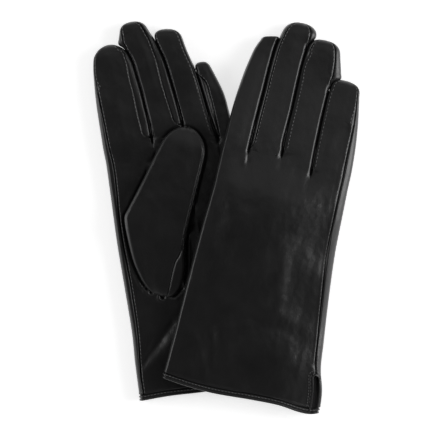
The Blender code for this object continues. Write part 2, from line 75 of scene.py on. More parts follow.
# The hide's clouds: share, turns a millimetre across and along, and layer
CLOUDS = (
    (1.0, 0.050, 0.034, 0.0),
    (0.40, 0.12, 0.085, 5.0),
    (0.16, 0.20, 0.030, 2.0),
    (0.13, 0.32, 0.24, 9.0),
)

# How far from a seam every other column is taken to be, in millimetres
AWAY = 9.0


class Face(Enum):
    """Which face of a lying glove a hide covers."""

    UPPER = 1
    LOWER = -1


class Edge(Enum):
    """How a hide ends at the outer side of the hand."""

    SEAM_ON_TOP = "seam on top"
    WRAPS_ROUND = "wraps round"


class Slot(Enum):
    """Kinds of finish that a piece takes."""

    LEATHER = "leather"
    BOUND_EDGE = "bound_edge"
    LINING = "lining"


def smoothstep(t: Array) -> Array:
    """Runs from 0 to 1 with flat ends."""
    t = np.clip(t, 0.0, 1.0)
    return t * t * (3.0 - 2.0 * t)


def hermite(x: Array, stations: Array, values: Array) -> Array:
    """A smooth curve through values at stations, flat beyond its ends.

    Args:
        x: where to read it, any shape.
        stations: rising places.
        values: one value a station, or one row of values a station with x's shape.

    Returns:
        The value at each x.
    """
    x = np.asarray(x, float)
    stations = np.asarray(stations, float)
    values = np.asarray(values, float)
    last = len(stations) - 1
    x = np.clip(x, stations[0], stations[-1])
    i = np.clip(np.searchsorted(stations, x, side="right") - 1, 0, last - 1)

    def at(k: Array) -> Array:
        """One row of values, spread to x's shape.

        Args:
            k: the station.

        Returns:
            Its values.
        """
        if values.ndim == 1:
            return values[k]
        return np.take_along_axis(values, k[None], axis=0)[0]

    def slope(k: Array) -> Array:
        """The curve's slope at a station."""
        before, after = np.maximum(k - 1, 0), np.minimum(k + 1, last)
        return (at(after) - at(before)) / (stations[after] - stations[before])

    span = stations[i + 1] - stations[i]
    t = (x - stations[i]) / span
    start = (1 + 2 * t) * (1 - t) ** 2 * at(i) + t * (1 - t) ** 2 * span * slope(i)
    return start + t * t * (3 - 2 * t) * at(i + 1) + t * t * (t - 1) * span * slope(i + 1)


def through(pairs: Pairs) -> Callable[[Array], Array]:
    """The smooth curve through (place, value) pairs."""
    places, values = zip(*pairs)
    return lambda x: hermite(x, np.array(places), np.array(values))


# ---------------------------------------------------------------------------- finishes


class Nodes:
    """A short hand for wiring one material."""

    def __init__(self, name: str) -> None:
        """Starts a material with a Principled shader.

        Args:
            name: the material's name.
        """
        self.material = bpy.data.materials.new(name)
        self.material.use_nodes = True
        self.tree = self.material.node_tree
        self.shader = self.tree.nodes["Principled BSDF"]
        self.place = self.tree.nodes.new("ShaderNodeTexCoord").outputs["Object"]

    def add(self, kind: str, **inputs: object) -> bpy.types.Node:
        """Adds a node and sets or links its inputs.

        Args:
            kind: the node's type, without the ShaderNode prefix.
            inputs: socket names, with _ for a space, and a value or a socket for each.

        Returns:
            The node.
        """
        node = self.tree.nodes.new("ShaderNode" + kind)
        for name, value in inputs.items():
            socket = node.inputs[name.replace("_", " ")]
            self.set(socket, value)
        return node

    def set(self, socket: bpy.types.NodeSocket, value: object) -> None:
        """Links a socket to a socket, or gives it a constant.

        Args:
            socket: the input to set.
            value: a socket or a constant.
        """
        if isinstance(value, bpy.types.NodeSocket):
            self.tree.links.new(value, socket)
        else:
            socket.default_value = value

    def noise(self, scale: float, detail: float, roughness: float = 0.5) -> bpy.types.NodeSocket:
        """A cloud pattern through the piece's own space."""
        node = self.add("TexNoise", Vector=self.place, Scale=scale, Detail=detail, Roughness=roughness)
        return node.outputs["Fac"]

    def cells(self, scale: float) -> bpy.types.NodeSocket:
        """The distance to the walls of a cell pattern."""
        node = self.add("TexVoronoi", Vector=self.place, Scale=scale)
        return node.outputs["Distance"]

    def ramp(self, value: bpy.types.NodeSocket, low: float, high: float) -> bpy.types.NodeSocket:
        """The value moved from 0.3 to 0.7 into a range.

        Args:
            value: a texture's value.
            low: the result at 0.3.
            high: the result at 0.7.

        Returns:
            The moved value.
        """
        node = self.add("MapRange", Value=value)
        node.inputs["From Min"].default_value = 0.3
        node.inputs["From Max"].default_value = 0.7
        node.inputs["To Min"].default_value = low
        node.inputs["To Max"].default_value = high
        return node.outputs["Result"]

    def tint(
        self, value: bpy.types.NodeSocket, low: tuple[float, ...], high: tuple[float, ...]
    ) -> bpy.types.NodeSocket:
        """A colour between two as the value runs from 0.3 to 0.7.

        Args:
            value: a texture's value.
            low: the colour at 0.3.
            high: the colour at 0.7.

        Returns:
            The colour.
        """
        node = self.add("ValToRGB", Fac=value)
        first, last = node.color_ramp.elements
        first.position, last.position = 0.3, 0.7
        first.color, last.color = (*low, 1.0), (*high, 1.0)
        return node.outputs["Color"]

    def bump(
        self, height: bpy.types.NodeSocket, depth: float, strength: float, under: object = None
    ) -> bpy.types.NodeSocket:
        """A bump of a depth in metres, on another bump if one is given.

        Args:
            height: the pattern, 0 to 1.
            depth: its depth in metres.
            strength: how much it counts.
            under: the bump below it, or None.

        Returns:
            The bent normal.
        """
        node = self.add("Bump", Height=height, Distance=depth, Strength=strength)
        if under is not None:
            self.set(node.inputs["Normal"], under)
        return node.outputs["Normal"]

    def finish(self, **sockets: object) -> bpy.types.Material:
        """Sets the shader's sockets and returns the material.

        Args:
            sockets: a value for each named input.

        Returns:
            The material.
        """
        for name, value in sockets.items():
            self.set(self.shader.inputs[name.replace("_", " ")], value)
        return self.material


@dataclass(frozen=True)
class LeatherFinish:
    """Smooth dyed nappa: fine pores, faint breaks, and a soft polish.

    Its dark and light colours are linear red, green and blue.
    """

    name: str
    dark: tuple[float, float, float] = (0.0068, 0.0067, 0.0069)
    light: tuple[float, float, float] = (0.0114, 0.0112, 0.0114)
    smooth: float = 0.28
    dull: float = 0.38
    coat: float = 0.06
    sheen: float = 0.02

    def make(self) -> bpy.types.Material:
        """Builds the material.

        Returns:
            The material.
        """
        n = Nodes(self.name)
        clouds = n.noise(45.0, 4.0, 0.55)
        breaks = n.bump(n.noise(160.0, 5.0, 0.6), 0.0006, 0.35)
        pores = n.bump(n.cells(2100.0), 0.00012, 0.22, breaks)
        grain = n.bump(n.noise(3600.0, 2.0), 0.00006, 0.16, pores)
        return n.finish(
            Base_Color=n.tint(clouds, self.dark, self.light),
            Roughness=n.ramp(n.noise(70.0, 5.0, 0.6), self.smooth, self.dull),
            Specular_IOR_Level=0.5,
            Coat_Weight=self.coat,
            Coat_Roughness=0.28,
            Sheen_Weight=self.sheen,
            Sheen_Roughness=0.45,
            Normal=grain,
        )


@dataclass(frozen=True)
class KnitFinish:
    """The fine brushed knit of a lining."""

    name: str
    dark: tuple[float, float, float] = (0.006, 0.006, 0.0062)
    light: tuple[float, float, float] = (0.014, 0.0138, 0.014)

    def make(self) -> bpy.types.Material:
        """Builds the material.

        Returns:
            The material.
        """
        n = Nodes(self.name)
        rows = n.add("TexWave", Vector=n.place, Scale=420.0, Distortion=1.4, Detail=2.0)
        fuzz = n.bump(n.noise(2600.0, 3.0), 0.0002, 0.5)
        return n.finish(
            Base_Color=n.tint(n.noise(900.0, 3.0), self.dark, self.light),
            Roughness=0.95,
            Sheen_Weight=0.25,
            Normal=n.bump(rows.outputs["Fac"], 0.0003, 0.5, fuzz),
        )


@dataclass(frozen=True)
class ThreadFinish:
    """Twisted sewing thread, a shade lighter than the leather."""

    name: str
    dark: tuple[float, float, float] = (0.13, 0.13, 0.132)
    light: tuple[float, float, float] = (0.22, 0.22, 0.222)

    def make(self) -> bpy.types.Material:
        """Builds the material.

        Returns:
            The material.
        """
        n = Nodes(self.name)
        twist = n.add("TexWave", Vector=n.place, Scale=1500.0, Distortion=0.6)
        return n.finish(
            Base_Color=n.tint(n.noise(800.0, 2.0), self.dark, self.light),
            Roughness=0.42,
            Normal=n.bump(twist.outputs["Fac"], 0.0001, 0.4),
        )


@dataclass(frozen=True)
class Finishes:
    """The materials of the pair."""

    leather: bpy.types.Material
    bound: bpy.types.Material
    knit: bpy.types.Material
    thread: bpy.types.Material

    @classmethod
    def mixed(cls) -> "Finishes":
        """Makes every material once.

        Returns:
            All the materials.
        """
        return cls(
            LeatherFinish("black_nappa").make(),
            LeatherFinish("bound_nappa", smooth=0.28, dull=0.40, coat=0.16).make(),
            KnitFinish("brushed_knit").make(),
            ThreadFinish("black_thread").make(),
        )


# ---------------------------------------------------------------------------- sheets


@dataclass
class Sheet:
    """A grid of points with the outward direction at each, in metres."""

    points: Array
    normals: Array

    @classmethod
    def over(cls, points: Array, up: float) -> "Sheet":
        """A sheet through points, facing up or down.

        Args:
            points: rows by columns by three.
            up: 1 if its middle faces up, and -1 if it faces down.

        Returns:
            The sheet.
        """
        return cls(points, up * cls.across(points))

    @staticmethod
    def across(points: Array) -> Array:
        """Unit normals, columns crossed with rows.

        Args:
            points: the grid.

        Returns:
            One normal a point.
        """
        rows = np.gradient(points, axis=0)
        columns = np.gradient(points, axis=1)
        normal = np.cross(columns, rows)
        return normal / np.maximum(np.linalg.norm(normal, axis=2, keepdims=True), 1e-12)

    def pushed(self, amount: Array) -> "Sheet":
        """The sheet moved along its normals by millimetres at each point.

        Args:
            amount: millimetres at each point.

        Returns:
            The moved sheet.
        """
        points = self.points + self.normals * (amount * MM)[..., None]
        fresh = self.across(points)
        turn = np.sign((fresh * self.normals).sum(axis=2, keepdims=True))
        return Sheet(points, fresh * np.where(turn == 0, 1, turn))

    def rows(self, first: int | None, last: int | None) -> "Sheet":
        """Some of its rows."""
        return Sheet(self.points[first:last], self.normals[first:last])

    def beside(self, other: "Sheet") -> "Sheet":
        """This sheet joined to another along the column that they share.

        Args:
            other: the sheet whose first column is this one's last.

        Returns:
            The joined sheet.
        """
        normals = np.concatenate([self.normals, other.normals[:, 1:]], axis=1)
        shared = self.normals[:, -1] + other.normals[:, 0]
        length = np.maximum(np.linalg.norm(shared, axis=1, keepdims=True), 1e-9)
        normals[:, self.normals.shape[1] - 1] = shared / length
        return Sheet(np.concatenate([self.points, other.points[:, 1:]], axis=1), normals)

    def solid(self, name: str, thickness: float | Array, closed: bool = False) -> bpy.types.Object:
        """A mesh of the sheet with a thickness on its inner side.

        Args:
            name: the piece's name.
            thickness: in millimetres, for the whole sheet or for each row.
            closed: whether its last column meets its first.

        Returns:
            The object, linked to the scene.
        """
        n, m, _ = self.points.shape
        depth = np.broadcast_to(thickness, n)[:, None, None] * MM
        inner = self.points - self.normals * depth
        verts = np.concatenate([self.points.reshape(-1, 3), inner.reshape(-1, 3)])
        index = np.arange(n * m).reshape(n, m)
        if closed:
            index = np.concatenate([index, index[:, :1]], axis=1)
        low, high = index[:-1], index[1:]
        quads = np.stack([low[:, :-1], low[:, 1:], high[:, 1:], high[:, :-1]], axis=-1).reshape(-1, 4)
        a, b, c = (self.points.reshape(-1, 3)[quads[:, k]] for k in (0, 1, 3))
        facing = np.cross(b - a, c - a) * self.normals.reshape(-1, 3)[quads[:, 0]]
        if facing.sum() < 0:
            quads = quads[:, ::-1]
        ends = np.concatenate([quads[:, [k, (k + 1) % 4]] for k in range(4)])
        key = np.sort(ends, axis=1)
        _, first, count = np.unique(key, axis=0, return_index=True, return_counts=True)
        border = ends[first[count == 1]]
        offset = n * m
        rim = np.stack([border[:, 1], border[:, 0], border[:, 0] + offset, border[:, 1] + offset], axis=1)
        faces = np.concatenate([quads, quads[:, ::-1] + offset, rim])
        both = np.concatenate([self.normals.reshape(-1, 3), -self.normals.reshape(-1, 3)])
        return mesh_object(name, verts, faces, both)


def mesh_object(name: str, verts: Array, faces: Array, normals: Array | None = None) -> bpy.types.Object:
    """A smooth-shaded mesh object of quads.

    Args:
        name: the piece's name.
        verts: points in metres.
        faces: corner numbers, four a face.
        normals: the shading normal of each point, or None.

    Returns:
        The object, linked to the scene.
    """
    mesh = bpy.data.meshes.new(name)
    mesh.vertices.add(len(verts))
    mesh.vertices.foreach_set("co", verts.astype(np.float32).ravel())
    mesh.loops.add(faces.size)
    mesh.loops.foreach_set("vertex_index", faces.astype(np.int32).ravel())
    mesh.polygons.add(len(faces))
    mesh.polygons.foreach_set("loop_start", np.arange(0, faces.size, 4, dtype=np.int32))
    mesh.update(calc_edges=True)
    mesh.shade_smooth()
    if normals is not None:
        mesh.normals_split_custom_set_from_vertices(normals)
    obj = bpy.data.objects.new(name, mesh)
    bpy.context.scene.collection.objects.link(obj)
    return obj


def sweep(name: str, path: Array, radius: Array, sides: int = 10) -> bpy.types.Object:
    """A round tube along a path, with closed ends.

    Args:
        name: the piece's name.
        path: points in metres.
        radius: one radius for each point, in metres.
        sides: how many sides it has.

    Returns:
        The object.
    """
    along = np.gradient(path, axis=0)
    along /= np.linalg.norm(along, axis=1, keepdims=True)
    side = np.cross(along, (0.0, 0.0, 1.0))
    side /= np.maximum(np.linalg.norm(side, axis=1, keepdims=True), 1e-9)
    up = np.cross(side, along)
    turns = np.linspace(0, 2 * math.pi, sides, endpoint=False)
    ring = np.cos(turns)[None, :, None] * side[:, None] + np.sin(turns)[None, :, None] * up[:, None]
    verts = (path[:, None] + ring * np.asarray(radius)[:, None, None]).reshape(-1, 3)
    index = np.arange(len(verts)).reshape(len(path), sides)
    index = np.concatenate([index, index[:, :1]], axis=1)
    quads = np.stack([index[:-1, :-1], index[:-1, 1:], index[1:, 1:], index[1:, :-1]], axis=-1)
    return mesh_object(name, verts, quads.reshape(-1, 4))


def closed_band(name: str, rows: Array) -> bpy.types.Object:
    """A mesh through rows that close round, with its two ends filled.

    Args:
        name: the new object's name.
        rows: rings of points, in order.

    Returns:
        The object.
    """
    n, m, _ = rows.shape
    index = np.arange(n * m).reshape(n, m)
    closed = np.concatenate([index, index[:1]], axis=0)
    quads = np.stack([closed[:-1, :-1], closed[:-1, 1:], closed[1:, 1:], closed[1:, :-1]], axis=-1)
    quads = quads.reshape(-1, 4)
    caps = []
    for column, turned in ((0, False), (m - 1, True)):
        ring = index[:, column]
        for i in range(n // 2 - 1):
            face = [ring[i], ring[i + 1], ring[n - 2 - i], ring[n - 1 - i]]
            caps.append(face[::-1] if turned else face)
    faces = np.concatenate([quads, np.array(caps)])
    verts = rows.reshape(-1, 3)
    centre = rows.mean(axis=0)[None] * np.ones((n, 1, 1))
    a, b, c = (verts[quads[:, k]] for k in (0, 1, 3))
    out = np.cross(b - a, c - a) * (verts - centre.reshape(-1, 3))[quads[:, 0]]
    if out.sum() < 0:
        faces = faces[:, ::-1]
    return mesh_object(name, verts, faces)


@dataclass(frozen=True)
class Stitching:
    """A row of stitches: their spacing, length and thickness in millimetres."""

    step: float = 2.5
    length: float = 1.5
    radius: float = 0.17

    def capsules(self, path: Array, normals: Array) -> tuple[Array, Array]:
        """The points and faces of the stitches along a path on a surface.

        Args:
            path: points in metres.
            normals: the surface's normals at them.

        Returns:
            The points and the faces.
        """
        seg = np.linalg.norm(np.diff(path, axis=0), axis=1)
        run = np.concatenate([[0.0], np.cumsum(seg)]) / MM
        count = max(int(run[-1] / self.step), 1)
        middles = (np.arange(count) + 0.5) * run[-1] / count
        rings = ((-0.5, 0.25), (-0.36, 0.9), (0.0, 1.0), (0.36, 0.9), (0.5, 0.25))
        turns = np.linspace(0, 2 * math.pi, 6, endpoint=False)

        def read(at: Array, values: Array) -> Array:
            return np.stack([np.interp(at, run, values[:, k]) for k in range(3)], axis=-1)

        up = read(middles, normals)
        up /= np.linalg.norm(up, axis=1, keepdims=True)
        along = read(middles + 0.3, path) - read(middles - 0.3, path)
        along /= np.maximum(np.linalg.norm(along, axis=1, keepdims=True), 1e-12)
        side = np.cross(up, along)
        verts = []
        for place, share in rings:
            centre = read(middles + place * self.length, path)
            for turn in turns:
                out = math.cos(turn) * side + math.sin(turn) * up
                verts.append(centre + out * self.radius * share * MM)
        points = np.stack(verts, axis=1)
        one = []
        for i in range(len(rings) - 1):
            for j in range(6):
                k = (j + 1) % 6
                one.append((i * 6 + j, i * 6 + k, i * 6 + 6 + k, i * 6 + 6 + j))
        one = np.array([*one, (3, 2, 1, 0), (5, 4, 3, 0), (24, 25, 26, 27), (24, 27, 28, 29)])
        starts = np.arange(count)[:, None, None] * len(verts)
        return points.reshape(-1, 3), (one[None] + starts).reshape(-1, 4)

    def row(self, name: str, lines: list[tuple[Array, Array]]) -> bpy.types.Object:
        """One object of the stitches along several lines.

        Args:
            name: the piece's name.
            lines: a path and its surface normals for each line.

        Returns:
            The object.
        """
        verts, faces, total = [], [], 0
        for path, normals in lines:
            points, quads = self.capsules(path, normals)
            verts.append(points)
            faces.append(quads + total)
            total += len(points)
        return mesh_object(name, np.concatenate(verts), np.concatenate(faces))


# ---------------------------------------------------------------------------- shape of a glove


@dataclass(frozen=True)
class Crease:
    """A soft fold or swell along a short line of a hide."""

    start: tuple[float, float]
    end: tuple[float, float]
    width: float
    height: float

    def lift(self, u: Array, v: Array) -> Array:
        """Its height over each place.

        Args:
            u: millimetres across the glove.
            v: millimetres up from the cuff.

        Returns:
            Millimetres of lift.
        """
        a, b = np.array(self.start), np.array(self.end)
        run = b - a
        t = ((u - a[0]) * run[0] + (v - a[1]) * run[1]) / (run @ run)
        held = np.clip(t, 0.0, 1.0)
        away = np.hypot(u - a[0] - held * run[0], v - a[1] - held * run[1])
        fade = np.sin(np.clip(0.15 + 0.7 * held, 0, 1) * math.pi)
        return self.height * fade * np.exp(-((away / self.width) ** 2))


@dataclass(frozen=True)
class FingerCut:
    """One finger's pattern: the lines of its two sides, its tip, and its seams.

    near and far are (v, u) along each side. The seams are (v, distance in from the side) on the
    upper face, and a distance below zero puts the seam down on the side wall. A slanted tip
    rises by slant millimetres a millimetre across. far_wall is (v, width of the far side's roll).
    """

    name: str
    near: Pairs
    far: Pairs
    near_seam: Pairs
    far_seam: Pairs
    tip: float
    cap: float
    blunt: float = 2.4
    slant: float = 0.0
    far_wall: Pairs = ((0.0, 2.3), (1.0, 2.3))

    def middle(self, v: Array) -> Array:
        """The middle of the finger across the glove."""
        return (through(self.near)(v) + through(self.far)(v)) / 2

    def closing(self, v: Array) -> Array:
        """1 along the finger, and down to 0 at its tip."""
        share = np.clip((v - self.tip + self.cap) / self.cap, 0.0, 1.0)
        return (1.0 - share**self.blunt) ** (1.0 / self.blunt)

    def half(self, v: Array) -> Array:
        """Half its width."""
        return (through(self.far)(v) - through(self.near)(v)) / 2 * self.closing(v)

    def lean(self, u: Array, v: Array) -> Array:
        """How far a slanted tip is moved along the finger."""
        return self.slant * (u - self.middle(v)) * smoothstep((v - self.tip + 1.6 * self.cap) / self.cap)


@dataclass(frozen=True)
class ThumbCut:
    """A thumb in its own frame: rows of (distance, near edge, far edge), seam and heights."""

    base: tuple[float, float]
    turn: float
    near: Pairs
    far: Pairs
    seam: Pairs
    height: Pairs
    rise: Pairs
    start: float
    fold: float
    tip: float
    cap: float

    def place(self, across: Array, along: Array) -> tuple[Array, Array]:
        """Turns the thumb's own frame into the glove's.

        Args:
            across: millimetres across the thumb.
            along: millimetres up it.

        Returns:
            u and v.
        """
        t = math.radians(self.turn)
        u = self.base[0] + across * math.cos(t) + along * math.sin(t)
        v = self.base[1] - across * math.sin(t) + along * math.cos(t)
        return u, v


@dataclass(frozen=True)
class GloveCut:
    """The pattern and the pose of one glove."""

    name: str
    origin: tuple[float, float]
    tilt: float
    upper: str
    lower: str
    outline: tuple[tuple[float, float, float], ...]
    crotches: tuple[tuple[float, float], ...]
    front_ends: tuple[float, float]
    fingers: tuple[FingerCut, ...]
    thumb: ThumbCut
    near_edge: Edge
    far_edge: Edge
    outer_seam: Pairs
    outer_wall: Pairs
    cuff_wave: Pairs
    creases: tuple[Crease, ...] = ()
    unrest: float = 0.3


class Lie:
    """The table: the height of a glove's underside where it lies flat."""

    def height(self, u: Array, v: Array) -> Array:
        """Zero everywhere."""
        return np.zeros(np.broadcast(u, v).shape)


@dataclass
class DrapedLie(Lie):
    """The underside of the upper glove, over the lower glove and its own thumb.

    across holds places along u, and rows holds (v, heights at those places).
    """

    across: tuple[float, ...] = (-50.0, -25.0, 0.0, 25.0, 50.0)
    rows: tuple[tuple[float, tuple[float, ...]], ...] = (
        (0.0, (10.0, 10.4, 9.6, 7.4, 2.2)),
        (25.0, (10.9, 11.0, 11.1, 11.2, 5.2)),
        (60.0, (12.6, 13.8, 13.2, 9.0, 3.6)),
        (100.0, (15.6, 19.6, 19.0, 12.4, 5.0)),
        (130.0, (15.6, 19.6, 18.8, 14.0, 8.0)),
        (157.0, (15.0, 13.4, 11.8, 10.2, 8.6)),
        (185.0, (11.0, 8.6, 6.9, 5.6, 4.8)),
        (215.0, (3.4, 2.6, 2.2, 1.8, 1.5)),
        (248.0, (0.1, 0.1, 0.1, 0.1, 0.1)),
    )

    def height(self, u: Array, v: Array) -> Array:
        """The height over each place.

        Args:
            u: millimetres across the glove.
            v: millimetres up from the cuff.

        Returns:
            Millimetres.
        """
        u, v = np.broadcast_arrays(np.asarray(u, float), np.asarray(v, float))
        fields = np.stack([hermite(u, self.across, values) for _, values in self.rows])
        return hermite(v, [row[0] for row in self.rows], fields)


@dataclass
class UnderThumbLie(Lie):
    """What the upper glove's thumb lies on: the lower glove, falling to the table."""

    edge_at_cuff: float = 35.5
    edge_slope: float = -0.455
    fall_start: float = 2.0
    fall_length: float = 28.0
    stand: float = 10.1

    def height(self, u: Array, v: Array) -> Array:
        """The height over each place."""
        edge = self.edge_at_cuff + self.edge_slope * v
        return self.stand * (1.0 - smoothstep((u - edge - self.fall_start) / self.fall_length))


@dataclass
class Section:
    """Rounded cross-sections, one for each point of a grid.

    A station runs from 0 at the near side, over the upper face from 1 to 2, to 3 at the far
    side, and back under the lower face from 4 to 5.
    """

    near: Array
    far: Array
    height: Array
    low: Array
    near_roll: Array
    far_roll: Array
    near_open: Array
    far_open: Array
    crown: float | Array = 0.35

    def station(self, depth: Array, roll: Array) -> Array:
        """How far round from a side a distance in from it lies.

        Args:
            depth: millimetres in from the side.
            roll: how far that side rolls over.

        Returns:
            Stations past the side.
        """
        flat = np.maximum(self.far - self.near - self.near_roll - self.far_roll, 0.2)
        inside = np.arccos(np.clip(1.0 - depth / roll, -1.0, 1.0)) / QUARTER
        on_side = depth / (roll * QUARTER)
        return np.where(depth < 0, on_side, np.where(depth < roll, inside, 1 + (depth - roll) / flat))

    def near_station(self, depth: Array) -> Array:
        """The station on the upper face a distance in from the near side."""
        return self.station(depth, self.near_roll)

    def far_station(self, depth: Array) -> Array:
        """The station on the upper face a distance in from the far side."""
        return 3.0 - self.station(depth, self.far_roll)

    def point(self, q: Array) -> tuple[Array, Array]:
        """The place across and the height at a station.

        Args:
            q: stations, 0 to 6.

        Returns:
            u and z.
        """
        q = np.mod(q, 6.0)
        span = np.minimum(np.floor(q), 5.0)
        t = q - span
        sin, cos = np.sin(t * QUARTER), np.cos(t * QUARTER)
        a, b, ra, rb = self.near, self.far, self.near_roll, self.far_roll
        half = self.height / 2
        mid = self.low + half
        flat = (b - rb) - (a + ra)
        swell = self.crown * np.sin(t * math.pi) ** 2
        pick = [span == k for k in range(5)]
        u = np.select(
            pick,
            [
                a + ra * (1 - cos),
                a + ra + flat * t,
                b - rb * (1 - sin),
                b - rb * (1 - cos),
                b - rb - flat * t,
            ],
            a + ra * (1 - sin),
        )
        z = np.select(
            pick,
            [
                mid + half * (1 - self.near_open * (1 - sin)),
                mid + half + swell,
                mid + half * (1 - self.far_open * (1 - cos)),
                mid - half * (1 - self.far_open * (1 - sin)),
                mid - half,
            ],
            mid - half * (1 - self.near_open * (1 - cos)),
        )
        return u, z

    def per_mm(self, q: Array, step: float) -> Array:
        """Stations to a millimetre at a station, towards step."""
        (u0, z0), (u1, z1) = self.point(q), self.point(q + step)
        return step / np.maximum(np.hypot(u1 - u0, z1 - z0), 0.02)


# ---------------------------------------------------------------------------- a glove


@dataclass
class GloveForm:
    """The shape of one lying glove, in millimetres: its outline, sections, rows and seams.

    A valley is where a hide falls into a crotch, and a turn is how far a side rolls over.
    """

    cut: GloveCut
    lie: Lie
    thumb_lie: Lie
    leather: float = 0.8
    knit: float = 0.6
    knit_inset: float = 1.35
    cuff_height: float = 9.0
    full_height: float = 9.6
    finger_height: float = 10.0
    cuff_blend: float = 30.0
    tip_rise: float = 0.35
    seam_gap: float = 0.12
    under_wrap: float = 5.0
    strip_under: float = 2.2
    band: float = 3.3
    vent_length: float = 25.5
    vent_half: float = 2.7
    valley_reach: float = 7.0
    crotch_opens_over: float = 4.0
    strip_starts_over: float = 5.0
    turn: float = 2.3
    outer_turn: float = 1.9
    valley_turn: float = 1.8
    hand_rows: int = 170
    finger_step: float = 0.8
    cap_rows: int = 16

    def world(self, u: Array, v: Array, z: Array) -> Array:
        """Glove millimetres as row frame metres, with the cuff's edge a little wavy.

        Args:
            u: millimetres across the glove.
            v: millimetres up from the cuff.
            z: millimetres up from where it lies.

        Returns:
            The points.
        """
        t = math.radians(self.cut.tilt)
        v = v + through(self.cut.cuff_wave)(u) * (1.0 - smoothstep(np.asarray(v) / 32.0))
        x = self.cut.origin[0] + PAIR_SHIFT[0] + u * math.cos(t) + v * math.sin(t)
        y = self.cut.origin[1] + PAIR_SHIFT[1] - u * math.sin(t) + v * math.cos(t)
        return np.stack(np.broadcast_arrays(x, y, z), axis=-1) * MM

    def outline(self, v: Array) -> tuple[Array, Array]:
        """The hand's near and far sides.

        Args:
            v: millimetres up from the cuff.

        Returns:
            The near and the far u.
        """
        near = through(tuple((row[0], row[1]) for row in self.cut.outline))(v)
        far = through(tuple((row[0], row[2]) for row in self.cut.outline))(v)
        return near, far

    def hand_height(self, v: Array) -> Array:
        """Thickness of the lying hand."""
        grown = smoothstep(np.asarray(v) / self.cuff_blend)
        return self.cuff_height + (self.full_height - self.cuff_height) * grown

    def crotch_line(self, k: int, v: Array) -> Array:
        """The line that runs down the hand from crotch k.

        Args:
            k: the crotch.
            v: millimetres up from the cuff.

        Returns:
            u along the line.
        """
        at, top = self.cut.crotches[k]
        near, far = self.outline(v)
        near_top, far_top = self.outline(np.array(top))
        return near + (at - near_top) / (far_top - near_top) * (far - near)

    def side_of(self, k: int, far: bool, v: Array) -> tuple[Array, Array]:
        """One side of finger k, and how open it is: 1 on a free side, 0 deep in the hand.

        Args:
            k: the finger, from 0 at the index side.
            far: True for the side nearer the little finger.
            v: millimetres up from the cuff.

        Returns:
            u of the side, and its openness.
        """
        finger = self.cut.fingers[k]
        sign = 1.0 if far else -1.0
        free = finger.middle(v) + sign * finger.half(v)
        crotch = k if far else k - 1
        if crotch < 0 or crotch > 2:
            edge = self.outline(v)[1 if far else 0]
            root = self.cut.front_ends[1 if far else 0]
            mixed = smoothstep((v - root + 8.0) / 16.0)
            return edge * (1 - mixed) + free * mixed, np.ones(v.shape)
        top = self.cut.crotches[crotch][1]
        parted = smoothstep((v - top) / self.crotch_opens_over)
        return (
            self.crotch_line(crotch, v) * (1 - parted) + free * parted,
            smoothstep(1.0 - (top - v) / self.valley_reach) ** 1.3,
        )

    def outer_roll(self, edge: Edge, v: Array) -> Array:
        """How wide the hand's outer side rolls over.

        Args:
            edge: the hand's edge.
            v: millimetres up from the cuff.

        Returns:
            Millimetres.
        """
        if edge is Edge.WRAPS_ROUND:
            return np.full(v.shape, self.outer_turn)
        return through(self.cut.outer_wall)(v)

    def section(self, k: int, v: Array, inset: float = 0.0) -> Section:
        """The sections of finger k and of the strip of hand below it.

        Args:
            k: the finger, from 0 at the index side.
            v: millimetres up from the cuff.
            inset: how far inside the hide it runs.

        Returns:
            The section.
        """
        finger = self.cut.fingers[k]
        near, near_open = self.side_of(k, False, v)
        far, far_open = self.side_of(k, True, v)
        closing = finger.closing(v) ** 0.8
        root = max(self.front(k, 0.0), self.front(k, 1.0))
        into = smoothstep((v - root + 20.0) / 25.0)
        full = self.hand_height(v) * (1 - into) + self.finger_height * into
        height = full * closing
        low = (full - height) * self.tip_rise
        near, far = near + inset, far - inset
        width = np.maximum(far - near, 0.3)
        roll_near = self.turn + self.valley_turn * (1 - near_open)
        if k == 0:
            roll_near = self.outer_roll(self.cut.near_edge, v)
        roll_far = through(finger.far_wall)(v) + self.valley_turn * (1 - far_open)
        if k == 3:
            roll_far = self.outer_roll(self.cut.far_edge, v)
        roll_near = np.minimum(roll_near, 0.485 * width)
        roll_far = np.minimum(roll_far, 0.485 * width)
        return Section(
            near,
            far,
            np.maximum(height - 2 * inset, 0.2),
            low + inset,
            roll_near,
            roll_far,
            near_open,
            far_open,
            0.35 * smoothstep((v - root + 10.0) / 15.0),
        )

    def front(self, k: int, share: float) -> float:
        """Where the hand ends and finger k begins, a share of the way across it."""
        ends = (self.cut.front_ends[0], *(c[1] for c in self.cut.crotches), self.cut.front_ends[1])
        return ends[k] + (ends[k + 1] - ends[k]) * share

    def row_places(self, k: int, shares: Array) -> Array:
        """v at each row and column of finger k's grid: the hand's rows, then the finger's.

        Args:
            k: the finger, from 0 at the index side.
            shares: each column's place from 0 near to 1 far.

        Returns:
            v, one row of columns a row.
        """
        finger = self.cut.fingers[k]
        front = self.front(k, 0.0) + (self.front(k, 1.0) - self.front(k, 0.0)) * shares
        t = np.linspace(0.0, 1.0, self.hand_rows)[:, None] ** 1.2
        hand = self.band + t * (front[None] - self.band)
        middle = self.front(k, 0.5)
        shoulder = finger.tip - finger.cap
        count = int((shoulder - middle) / self.finger_step)
        body = np.linspace(middle, shoulder, count)[1:]
        turn = np.linspace(0.0, 0.985, self.cap_rows + 1)[1:] * QUARTER
        cap = shoulder + finger.cap * np.sin(turn) ** (2.0 / finger.blunt)
        rows = np.concatenate([body, cap])[:, None]
        skew = (front - middle)[None] * (1.0 - smoothstep((rows - middle) / 26.0))
        return np.concatenate([hand, rows + skew])

